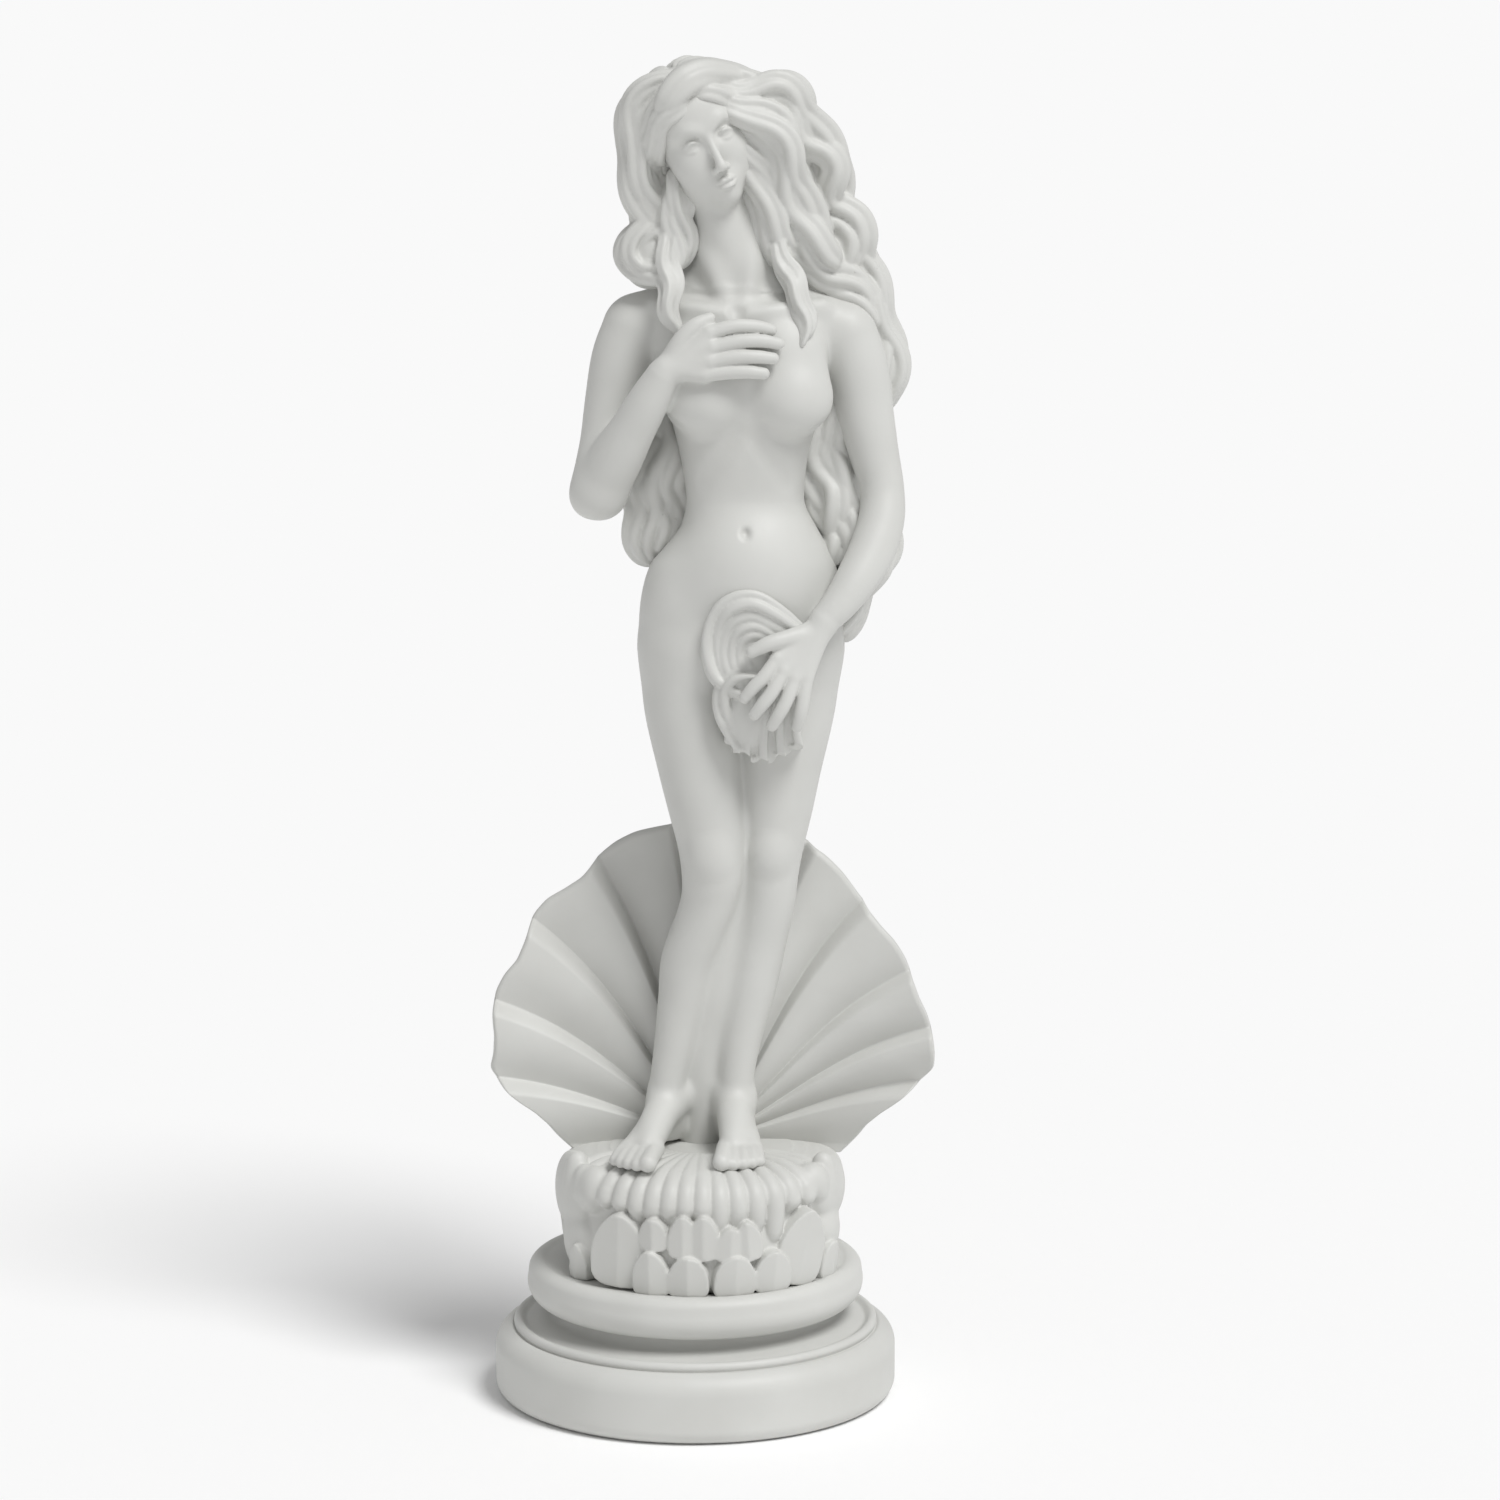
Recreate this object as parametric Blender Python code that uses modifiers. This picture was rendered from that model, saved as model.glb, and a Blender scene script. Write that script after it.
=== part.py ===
"""Statuette of Aphrodite before an upright scallop shell, on a carved mound and a turned round plinth.

The figure, its hair, the cloth, the shell and the mound are one casting. The plinth is a piece of its own.
Lengths are in millimetres until they reach Blender. +Z is up, the figure faces -Y, and the origin is the
middle of the plinth's underside.
"""

import math

import bmesh
import bpy
from mathutils import Matrix, Vector

MM = 0.001

# Mound: a drum of scales under the lip of the lower shell valve
MOUND_RADIUS = 30.0
MOUND_LIP = 4.0
MOUND_HEIGHT = 26.6
MOUND_SHIFT = 1.4
RIB_COUNT = 13
RIB_SPREAD = math.radians(104)
RIB_RADIUS = 2.2
SCALE_THICKNESS = 3.0

# Plinth: a low drum, a waist and a ring on one axis, each a step wider than what stands on it
RING_REACH = 8.0
RING_BOTTOM = 21.0
RING_TOP = 31.0
TRAY_DEPTH = 0.8
WAIST_INSET = 7.0
WAIST_BOTTOM = 18.6
STEP_REACH = 3.2
STEP_HEIGHT = 1.0
DRUM_REACH = 4.1
DRUM_HEIGHT = 16.0
DRUM_ROUNDING = 5.0
FOOT_ROUNDING = 3.4
SEAT_GAP = 0.3
PLINTH_STEPS = 44

# Shell: a fan of pleats that stands behind the legs, its creases counted from upright to each side
SHELL_RADIUS = 49.0
SHELL_RISE = 22.0
SHELL_THICKNESS = 2.6
SHELL_PLEAT_DEPTH = 4.0
SHELL_CREASES_RIGHT = tuple(math.radians(turn) for turn in (5.4, 21.9, 38.4, 55.5, 71.4))
SHELL_CREASES_LEFT = tuple(math.radians(turn) for turn in (5.4, 18.0, 32.0, 48.5, 61.0, 72.0))
SHELL_SPREAD = math.radians(94)
SHELL_LEAN = 13.0
SHELL_CUP = 9.0
SHELL_HINGE_X = 3.6
SHELL_HINGE_Y = 8.0

# Figure: sole to crown, and every other length of it in parts of that height
FIGURE_HEIGHT = 242.5
DESIGN_HEIGHT = 242.5

# Fusing of the casting
VOXEL = 0.85
MELT_STEPS = 5
CASTING_TRIANGLES = 7850

RING_RADIUS = MOUND_RADIUS + RING_REACH
WAIST_RADIUS = RING_RADIUS - WAIST_INSET
STEP_RADIUS = RING_RADIUS + STEP_REACH
DRUM_RADIUS = STEP_RADIUS + DRUM_REACH
TRAY_TOP = RING_TOP - TRAY_DEPTH
MOUND_BOTTOM = TRAY_TOP + SEAT_GAP
MOUND_TOP = MOUND_BOTTOM + MOUND_HEIGHT


def clear_scene():
    for obj in list(bpy.data.objects):
        bpy.data.objects.remove(obj, do_unlink=True)


def collection_of(name):
    made = bpy.data.collections.new(name)
    bpy.context.scene.collection.children.link(made)
    return made


def plaster(name, colour):
    """Matt white casting stone."""
    made = bpy.data.materials.new(name)
    made.use_nodes = True
    shader = made.node_tree.nodes["Principled BSDF"]
    shader.inputs["Base Color"].default_value = (*colour, 1.0)
    shader.inputs["Roughness"].default_value = 0.6
    shader.inputs["Metallic"].default_value = 0.0
    return made


def arc(centre, radius, start, end, count):
    """Points of an arc in the profile plane, angles in degrees, from +r towards +z."""
    turns = [math.radians(start + (end - start) * i / count) for i in range(count + 1)]
    return [(centre[0] + radius * math.cos(t), centre[1] + radius * math.sin(t)) for t in turns]


def turned(name, profile, steps, target, material):
    """A solid of revolution from a profile of (radius, height) that runs from top to bottom."""
    mesh = bpy.data.meshes.new(name)
    points = [(r * MM, 0.0, z * MM) for r, z in profile]
    mesh.from_pydata(points, [(i, i + 1) for i in range(len(points) - 1)], [])
    obj = bpy.data.objects.new(name, mesh)
    target.objects.link(obj)
    screw = obj.modifiers.new("turn", "SCREW")
    screw.steps = steps
    screw.render_steps = steps
    screw.use_merge_vertices = True
    screw.merge_threshold = 0.00001
    obj.data.materials.append(material)
    return obj


def plinth_profile():
    """Half outline of the plinth, from the middle of the tray to the middle of the underside."""
    lip = 0.5 * (RING_TOP - RING_BOTTOM)
    bulge = (RING_RADIUS - lip, RING_BOTTOM + lip)
    shoulder = (DRUM_RADIUS - DRUM_ROUNDING, DRUM_HEIGHT - DRUM_ROUNDING)
    profile = [(0.0, TRAY_TOP), (bulge[0] - 1.4, TRAY_TOP)]
    profile += arc(bulge, lip, 90, -70, 8)
    profile += [(WAIST_RADIUS, RING_BOTTOM + 0.4), (WAIST_RADIUS, WAIST_BOTTOM)]
    profile += [(STEP_RADIUS - 0.6, DRUM_HEIGHT + STEP_HEIGHT), (STEP_RADIUS, DRUM_HEIGHT)]
    profile += arc(shoulder, DRUM_ROUNDING, 75, 0, 4)
    profile += arc((DRUM_RADIUS - FOOT_ROUNDING, FOOT_ROUNDING), FOOT_ROUNDING, 0, -60, 3)
    profile += [(DRUM_RADIUS - 0.55 * FOOT_ROUNDING, 0.0), (0.0, 0.0)]
    return profile


class Clay:
    """Overlapping closed shapes in one mesh, in millimetres, which a remesh fuses into one casting."""

    def __init__(self):
        self.mesh = bmesh.new()

    def ball(self, place, radii, turn=None):
        """An ellipsoid at a place, with its three half axes, turned by a rotation matrix."""
        matrix = Matrix.Translation(place)
        if turn is not None:
            matrix = matrix @ turn.to_4x4()
        matrix = matrix @ Matrix.Diagonal((*radii, 1.0))
        bmesh.ops.create_uvsphere(self.mesh, u_segments=20, v_segments=12, radius=1.0, matrix=matrix)

    def limb(self, rings):
        """A round limb or lock of hair: a curve through (x, y, z, radius) rings, swollen to each radius."""
        curve = bpy.data.curves.new("limb", "CURVE")
        curve.dimensions = "3D"
        curve.bevel_depth = 1.0
        curve.bevel_resolution = 3
        curve.resolution_u = 5
        curve.use_fill_caps = True
        spline = curve.splines.new("BEZIER")
        spline.bezier_points.add(len(rings) - 1)
        spline.radius_interpolation = "CARDINAL"
        for point, (x, y, z, radius) in zip(spline.bezier_points, rings):
            point.co = (x, y, z)
            point.radius = radius
            point.handle_left_type = "AUTO"
            point.handle_right_type = "AUTO"
        obj = bpy.data.objects.new("limb", curve)
        bpy.context.scene.collection.objects.link(obj)
        graph = bpy.context.evaluated_depsgraph_get()
        mesh = bpy.data.meshes.new_from_object(obj.evaluated_get(graph))
        self.mesh.from_mesh(mesh)
        bpy.data.objects.remove(obj)
        bpy.data.curves.remove(curve)
        bpy.data.meshes.remove(mesh)
        for x, y, z, radius in (rings[0], rings[-1]):
            self.ball((x, y, z), (radius,) * 3)

    def loft(self, loops):
        """A skin over closed loops of equally many points, from the top one down, with flat ends."""
        rows = [[self.mesh.verts.new(point) for point in loop] for loop in loops]
        count = len(rows[0])
        for upper, lower in zip(rows, rows[1:]):
            for i in range(count):
                j = (i + 1) % count
                self.mesh.faces.new((upper[i], lower[i], lower[j], upper[j]))
        self.mesh.faces.new(rows[0])
        self.mesh.faces.new(list(reversed(rows[-1])))

    def join(self, obj):
        """Takes in the evaluated mesh of another object, which is in metres, and removes the object."""
        graph = bpy.context.evaluated_depsgraph_get()
        mesh = bpy.data.meshes.new_from_object(obj.evaluated_get(graph))
        mesh.transform(Matrix.Scale(1 / MM, 4) @ obj.matrix_world)
        self.mesh.from_mesh(mesh)
        bpy.data.objects.remove(obj)


class Pose:
    """Places on the figure, worked out for the design height from the soles up, and scaled to it."""

    def __init__(self):
        self.scale = FIGURE_HEIGHT / DESIGN_HEIGHT

    def at(self, x, y, z):
        return Vector((x * self.scale, y * self.scale, MOUND_TOP + z * self.scale))

    def rings(self, *rows):
        return [(*self.at(x, y, z), radius * self.scale) for x, y, z, radius in rows]

    def size(self, *radii):
        return tuple(r * self.scale for r in radii)


def section(pose, level, middle, half_width, front, back, count=36, squareness=2.3):
    """A rounded body section: front and back depths differ, and the corners are a little full."""
    loop = []
    for i in range(count):
        turn = 2 * math.pi * i / count
        c, s = math.cos(turn), math.sin(turn)
        reach = (abs(c) ** squareness + abs(s) ** squareness) ** (-1 / squareness)
        depth = back if s > 0 else front
        loop.append(pose.at(middle + half_width * reach * c, 1.0 + depth * reach * s, level))
    return loop


def trunk(clay, pose):
    """Shoulders to hips: sections of (height, middle, half width, front depth, back depth)."""
    levels = (
        (192.0, 9.8, 8.5, 5.0, 8.0),
        (188.5, 10.0, 18.5, 9.0, 10.5),
        (182.5, 9.9, 20.0, 12.0, 12.0),
        (176.5, 10.0, 18.8, 13.0, 12.0),
        (170.5, 10.4, 17.4, 13.0, 11.5),
        (163.5, 11.2, 16.0, 12.0, 10.5),
        (156.5, 11.1, 14.2, 11.5, 10.0),
        (148.5, 11.3, 13.1, 10.5, 9.0),
        (144.5, 11.5, 13.3, 10.8, 9.0),
        (140.0, 12.0, 15.2, 11.5, 9.8),
        (135.5, 11.5, 18.2, 12.2, 11.0),
        (131.0, 10.8, 20.8, 13.0, 13.0),
        (123.5, 10.5, 22.4, 13.5, 15.0),
        (114.5, 10.5, 22.8, 13.0, 16.0),
        (105.5, 10.3, 21.8, 11.5, 15.0),
        (98.0, 10.3, 18.5, 8.5, 12.0),
    )
    clay.loft([section(pose, *level) for level in levels])
    for x in (2.6, 22.6):
        clay.ball(pose.at(x, -8.6, 169.8), pose.size(7.6, 7.2, 7.6))
    for x in (0.5, 20.5):
        clay.ball(pose.at(x, 9.0, 111.0), pose.size(10.5, 8.5, 11.0))


def legs(clay, pose):
    """Her right leg crosses a little in front of the left one, and both stand on bare feet."""
    clay.limb(
        pose.rings(
            (0.0, 1.5, 112.0, 11.8), (-0.6, 1.0, 101.0, 10.7), (1.0, -0.5, 88.0, 9.4),
            (2.4, -2.0, 79.0, 8.5), (3.7, -3.0, 70.5, 7.9), (4.0, -3.8, 63.5, 7.2),
            (3.2, -3.2, 57.0, 6.3), (0.9, -1.5, 49.5, 6.0), (-1.6, 0.4, 42.0, 6.2),
            (-3.0, 1.2, 33.0, 5.3), (-4.6, 1.0, 23.5, 4.5), (-6.0, 0.8, 15.5, 4.1), (-6.4, 0.6, 9.0, 4.2),
        )
    )
    clay.limb(
        pose.rings(
            (20.6, 3.0, 112.0, 12.2), (20.4, 3.0, 100.5, 11.1), (18.8, 3.0, 87.0, 9.7),
            (18.0, 2.0, 78.0, 8.7), (17.4, 1.0, 69.5, 7.4), (16.8, 0.6, 62.5, 6.7),
            (16.2, 1.5, 55.5, 6.4), (14.3, 3.2, 46.0, 6.4), (12.5, 3.8, 36.5, 6.3),
            (11.2, 3.4, 29.5, 5.6), (10.0, 2.5, 22.5, 4.8), (9.3, 1.8, 15.5, 4.2), (9.0, 1.4, 9.0, 4.3),
        )
    )
    clay.limb(
        pose.rings(
            (10.4, 2.2, 72.0, 5.4), (8.6, 2.4, 56.0, 5.0), (6.0, 2.8, 42.0, 4.4), (4.4, 3.4, 32.0, 4.0),
            (3.4, 4.6, 23.0, 3.8), (2.6, 6.0, 12.0, 4.0), (2.0, 6.6, 1.0, 4.6),
        )
    )
    foot(clay, pose, heel=(-5.4, 5.0), ball=(-12.0, -15.5), tip=(-13.6, -24.5), inward=1)
    foot(clay, pose, heel=(9.0, 5.5), ball=(9.6, -15.0), tip=(9.4, -24.0), inward=-1)


def foot(clay, pose, heel, ball, tip, inward):
    """A bare foot flat on the mound: heel, arch, ball and five toes that fan out from the ball."""
    clay.limb(
        pose.rings(
            (heel[0], heel[1], 4.0, 3.8), (0.6 * heel[0] + 0.4 * ball[0], -4.0, 7.4, 4.1),
            (0.25 * heel[0] + 0.75 * ball[0], -11.0, 4.6, 3.9), (ball[0], ball[1], 3.0, 3.4),
        )
    )
    clay.ball(pose.at(ball[0], ball[1], 2.6), pose.size(5.8, 5.0, 2.8))
    for toe in range(5):
        spread = (toe - 2) * 2.2
        reach = 1.0 - 0.09 * toe
        root = (ball[0] - inward * spread * 0.95, ball[1] - 2.0)
        end = (
            tip[0] - inward * spread * 1.15,
            ball[1] + (tip[1] - ball[1]) * reach,
        )
        clay.limb(pose.rings((*root, 2.4, 1.7), (*end, 1.5, 1.8 if toe == 0 else 1.4)))


def arms(clay, pose):
    """Her right hand rests on her chest, and the left reaches down to hold the cloth."""
    clay.limb(
        pose.rings(
            (-12.8, 3.0, 184.2, 7.6), (-15.6, 2.6, 177.0, 7.4), (-17.9, 1.6, 168.0, 6.4),
            (-19.4, 0.4, 159.0, 5.9), (-20.8, -1.4, 151.0, 6.4), (-20.9, -3.6, 147.5, 6.6),
        )
    )
    clay.limb(
        pose.rings(
            (-20.9, -3.4, 148.0, 6.4), (-17.0, -6.6, 156.0, 6.0), (-12.8, -10.0, 163.2, 5.2),
            (-9.4, -12.6, 169.6, 4.5), (-6.2, -14.4, 175.8, 3.8),
        )
    )
    palm = Matrix.Rotation(math.radians(-14), 3, "Y")
    clay.ball(pose.at(-0.6, -15.2, 179.6), pose.size(6.6, 2.8, 4.9), palm)
    for finger in range(4):
        drop = 2.75 * finger
        reach = (11.6, 13.6, 12.8, 10.8)[finger]
        clay.limb(
            pose.rings(
                (3.0 + 0.5 * finger, -15.6, 183.4 - drop, 1.7), (9.5, -15.6, 185.0 - drop, 1.6),
                (4.0 + reach, -14.8, 185.2 - drop, 1.4),
            )
        )
    clay.limb(pose.rings((-4.0, -14.4, 181.0, 2.2), (-0.4, -14.2, 185.2, 1.9), (3.2, -13.2, 187.4, 1.6)))
    clay.limb(
        pose.rings(
            (34.0, 3.0, 182.0, 7.2), (35.8, 3.0, 175.5, 7.1), (37.2, 3.2, 167.0, 6.6),
            (39.8, 2.6, 156.5, 5.5), (41.7, 1.4, 148.5, 4.8), (41.2, -1.4, 142.0, 5.0),
            (39.0, -5.0, 135.5, 5.0), (35.4, -9.0, 129.5, 4.6), (31.8, -11.6, 124.5, 4.0),
            (28.6, -13.2, 121.0, 3.5),
        )
    )
    palm = Matrix.Rotation(math.radians(28), 3, "Y")
    clay.ball(pose.at(24.2, -16.0, 115.0), pose.size(4.8, 2.7, 6.4), palm)
    fingers = (
        ((18.9, 112.2), (14.4, 107.4), (12.2, 103.4)),
        ((21.0, 109.8), (17.2, 104.0), (14.8, 99.8)),
        ((23.2, 108.4), (20.2, 102.2), (18.2, 98.0)),
        ((25.4, 108.4), (23.8, 102.6), (22.4, 97.8)),
    )
    for root, knuckle, end in fingers:
        clay.limb(
            pose.rings(
                (root[0], -17.2, root[1], 1.75), (knuckle[0], -18.4, knuckle[1], 1.6),
                (end[0], -17.6, end[1], 1.3),
            )
        )
    clay.limb(pose.rings((22.0, -16.4, 118.0, 2.0), (16.4, -17.8, 116.4, 1.8), (12.4, -17.8, 114.4, 1.5)))


def head(clay, pose):
    """Neck and head. The head leans to her right shoulder, looks down a little, and has plain features."""
    clay.limb(
        pose.rings(
            (9.6, 2.5, 186.0, 9.0), (8.8, 2.0, 195.0, 7.2), (7.4, 1.2, 203.0, 6.5), (4.6, 1.0, 214.0, 6.6),
        )
    )
    clay.limb(pose.rings((-12.4, 3.0, 186.0, 5.8), (-2.5, 3.5, 190.5, 6.0), (5.5, 3.0, 197.0, 5.6)))
    clay.limb(pose.rings((33.0, 3.0, 185.0, 5.2), (22.0, 3.5, 189.5, 5.6), (13.0, 3.0, 197.0, 5.4)))
    lean = Matrix.Rotation(math.radians(-23), 3, "Y")
    nod = Matrix.Rotation(math.radians(6), 3, "X")
    turn = lean @ Matrix.Rotation(math.radians(8), 3, "Z") @ nod
    middle = pose.at(0.8, -0.5, 224.8)

    def feature(place, radii):
        clay.ball(middle + turn @ Vector(pose.size(*place)), pose.size(*radii), turn)

    feature((0.0, 1.6, 3.8), (10.0, 12.4, 11.6))
    feature((0.0, -3.4, -3.8), (8.2, 8.6, 10.2))
    feature((0.0, -8.2, -11.2), (2.9, 2.8, 2.7))
    feature((0.0, -11.6, -1.6), (1.4, 2.2, 4.6))
    feature((0.0, -13.0, -4.8), (1.9, 1.7, 1.5))
    feature((0.0, -10.8, -8.4), (3.0, 1.6, 1.6))
    feature((0.0, 2.6, 5.6), (12.4, 13.2, 13.2))
    feature((0.5, -5.6, 12.4), (8.6, 6.0, 4.6))


def hair(clay, pose):
    """Long wavy hair behind both shoulders, further on her left, with a short lock on each collarbone."""
    locks = (
        ((4, -3, 236.5, 3.6), (13, -2, 235.8, 4.6), (20.5, 1, 234.8, 5.2), (24.8, 4, 226.5, 5.4),
         (30.0, 6, 219.5, 5.4), (29.5, 8, 211.5, 5.2), (34.8, 9, 203.5, 5.6), (34.2, 9, 195, 4.8)),
        ((6, -6, 233, 3.5), (13.5, -5, 231, 4.2), (19, -3, 225.0, 4.6), (21.5, 0, 216.5, 5.0),
         (23, 2, 208.5, 5.4), (27, 3, 201.5, 5.4), (31.5, 4, 197.5, 4.6)),
        ((9, -4, 226, 3.2), (13.5, -1.5, 220, 4.2), (16, 0, 211, 4.6), (18.5, 2, 203.5, 4.8),
         (23, 3.5, 198.0, 4.6), (29, 5, 194.5, 3.6)),
        ((33.5, 9, 203, 5.0), (36.8, 10, 195, 4.8), (39.4, 9.5, 187.5, 5.2), (42.2, 9, 179, 5.0),
         (41.8, 8.5, 171, 4.6), (41.5, 8, 164.5, 3.2)),
        ((-4, -4, 238.0, 3.6), (-10, -3.5, 234.5, 4.4), (-12.8, -2, 227, 4.2), (-12.2, -1, 219, 4.2),
         (-9.8, 0, 211.5, 4.2), (-7.0, 1, 206, 4.6), (-9.2, 0.5, 200.5, 5.4), (-8.6, 0.0, 196.0, 4.6)),
        ((-4, 6, 235, 5), (-10, 7, 224, 5.5), (-8.5, 8, 212, 5.5), (-4, 9, 203, 5.5), (-4, 8, 195, 5.5)),
        ((2, 9, 233, 8), (5, 11, 216, 9), (9, 12, 200, 10), (11, 12.5, 180, 10), (11, 11.5, 160, 10.5),
         (11.5, 10.5, 145, 8), (11, 10.5, 134, 5)),
        ((16, 10, 205, 7), (21, 12, 190, 7), (25, 12, 172, 6.5), (27.5, 10, 158, 6.6),
         (31.0, 8, 148, 7.0), (37.2, 5.2, 138, 6.2), (36.8, 3.8, 128.5, 4.4), (34.2, 2.8, 121, 3.6),
         (31.5, 2, 115, 2.2)),
        ((0, 10, 205, 7), (-1, 12, 190, 7), (-2.5, 12, 172, 6.5), (-4.5, 10, 160, 7.2),
         (-8.0, 8.5, 149, 8.0), (-10.5, 6.5, 139, 5.2), (-8.5, 6, 131, 3)),
        ((14, 4, 208, 6.0), (22, 5, 202, 6.5), (30, 7, 197, 6.5), (36, 8.5, 190, 5.5)),
        ((-3, 10, 166, 7.0), (-4.5, 9, 151, 7.5), (-5.5, 7.5, 141, 6.5), (-6, 6, 133, 4.0)),
        ((36, 7, 152, 4.8), (39.6, 5.2, 142, 4.8), (40.4, 4.2, 133.5, 4.0), (37.6, 3, 125.5, 3.4),
         (34.4, 2, 118, 2.4)),
        ((29, 9, 176, 6.0), (30, 8, 162, 6.0), (30, 7.5, 150, 6.5), (31.5, 6, 141, 6.0),
         (32.5, 4.5, 133, 4.6)),
        ((-6.5, -3, 201, 2.8), (-4.0, -8.0, 194.5, 2.6), (-4.5, -10.8, 188, 2.3),
         (-2.4, -12.0, 182.5, 1.6)),
        ((19.5, -1, 200, 2.8), (22.5, -6.0, 193.0, 2.6), (25.0, -9.4, 187, 2.3),
         (24.2, -11.4, 180.5, 1.6)),
    )
    for lock in locks:
        clay.limb(pose.rings(*lock))


def cloth(clay, pose):
    """A gathered cloth round her left hip: it rolls over at the hand, and drops in folds to the thigh."""
    clay.ball(pose.at(12.0, -11.0, 115.0), pose.size(8.0, 5.0, 10.0))
    clay.limb(
        pose.rings(
            (8.4, -14.6, 105.6, 2.2), (4.6, -12.8, 109.4, 2.3), (3.4, -11.8, 115.0, 2.2),
            (4.6, -12.6, 120.6, 2.2), (8.0, -14.2, 125.0, 2.2), (13.0, -15.0, 126.4, 2.2),
            (18.4, -15.0, 123.2, 2.1), (22.6, -14.0, 119.6, 1.9),
        )
    )
    for fold in range(3):
        drop = 3.0 * fold
        clay.limb(
            pose.rings(
                (32.0 - 0.6 * fold, 4.5, 119.0 - drop, 2.4), (29.0 - 0.4 * fold, -4.5, 116.5 - drop, 2.3),
                (23.5, -12.0, 113.0 - drop, 2.2),
            )
        )
    for fold in range(4):
        drop = 2.8 * fold
        clay.limb(
            pose.rings(
                (7.0 + 0.6 * fold, -13.4, 119.5 - drop, 1.8), (12.0 + 0.4 * fold, -15.2, 117.5 - drop, 2.0),
                (19.0, -15.4, 115.6 - 0.5 * drop, 1.9),
            )
        )
    for fold in range(5):
        side = (fold - 2) * 3.6
        length = (15.5, 18.5, 16.5, 19.0, 14.5)[fold]
        clay.limb(
            pose.rings(
                (16.6 + 0.5 * side, -14.8, 107.0, 2.3), (16.2 + 0.8 * side, -14.6, 99.0, 2.4),
                (16.2 + 1.05 * side, -12.0, 107.0 - length, 2.3),
            )
        )


def creases_beside(angle):
    """The creases on one side of the shell: her left is towards +X."""
    return SHELL_CREASES_LEFT if angle > 0 else SHELL_CREASES_RIGHT


def pleat(angle):
    """Place in a pleat, from 0 at the crease above it to 1 at the next crease outwards."""
    turn = abs(angle)
    creases = creases_beside(angle)
    if turn < creases[0]:
        return 0.5 + 0.5 * turn / creases[0]
    for inner, outer in zip(creases, (*creases[1:], SHELL_SPREAD)):
        if turn < outer:
            return (turn - inner) / (outer - inner)
    return 1.0


def shell_point(angle, share):
    """A point of the shell's middle surface: angle from upright, and share of the way from hinge to rim."""
    reach = SHELL_RISE * math.cos(angle) + math.sqrt(SHELL_RADIUS**2 - (SHELL_RISE * math.sin(angle)) ** 2)
    edge = creases_beside(angle)[-1]
    reach *= 1.0 - 0.31 * math.sqrt(max(0.0, abs(angle) - edge) / (SHELL_SPREAD - edge))
    along = pleat(angle)
    reach *= 1.0 - 0.028 * math.cos(2 * math.pi * (along - 0.22))
    crest = along / 0.22 if along < 0.22 else (1.0 - along) / 0.78
    out = share * reach
    across, up = out * math.sin(angle), out * math.cos(angle)
    full = SHELL_RADIUS + SHELL_RISE
    depth = SHELL_HINGE_Y + SHELL_LEAN * (max(up, 0.0) / full) ** 1.2
    depth -= SHELL_CUP * (across / SHELL_RADIUS) ** 2
    depth -= SHELL_PLEAT_DEPTH * (crest - 0.5) * min(1.0, out / (0.6 * full))
    return Vector((SHELL_HINGE_X + across, depth, MOUND_TOP - 0.5 * SHELL_THICKNESS + up))


def shell(clay, target, material):
    """The upright fan: an open surface of rays, thickened towards the back."""
    rays = 112
    rings = 16
    mesh = bmesh.new()
    grid = []
    for i in range(rays + 1):
        angle = SHELL_SPREAD * (2 * i / rays - 1)
        shares = [0.03 + 0.97 * j / rings for j in range(rings + 1)]
        grid.append([mesh.verts.new(shell_point(angle, share) * MM) for share in shares])
    for left, right in zip(grid, grid[1:]):
        for j in range(rings):
            mesh.faces.new((left[j], right[j], right[j + 1], left[j + 1]))
    data = bpy.data.meshes.new("shell")
    mesh.to_mesh(data)
    mesh.free()
    obj = bpy.data.objects.new("shell", data)
    target.objects.link(obj)
    wall = obj.modifiers.new("wall", "SOLIDIFY")
    wall.thickness = SHELL_THICKNESS * MM
    wall.offset = 0.0
    bpy.context.view_layer.update()
    clay.join(obj)


def mound_level(share):
    """A height on the mound, from 0 at its underside to 1 at its top."""
    return MOUND_BOTTOM + share * MOUND_HEIGHT


def mound_profile():
    """Half outline of the mound, from the middle of its top to the middle of its underside."""
    rim = MOUND_RADIUS + MOUND_LIP
    return [
        (0.0, mound_level(1.0)), (0.5 * rim, mound_level(0.995)), (0.8 * rim, mound_level(0.96)),
        (rim - 2.0, mound_level(0.9)), (rim - 0.8, mound_level(0.8)), (rim - 1.2, mound_level(0.6)),
        (MOUND_RADIUS + 0.2 * MOUND_LIP, mound_level(0.42)), (MOUND_RADIUS, mound_level(0.2)),
        (MOUND_RADIUS - 0.6, mound_level(0.0)), (0.0, mound_level(0.0)),
    ]


def round_about(radius, angle, height):
    """A place at a radius from the mound's axis, with angle 0 at the front."""
    return Vector((MOUND_SHIFT + radius * math.sin(angle), -radius * math.cos(angle), height))


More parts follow.
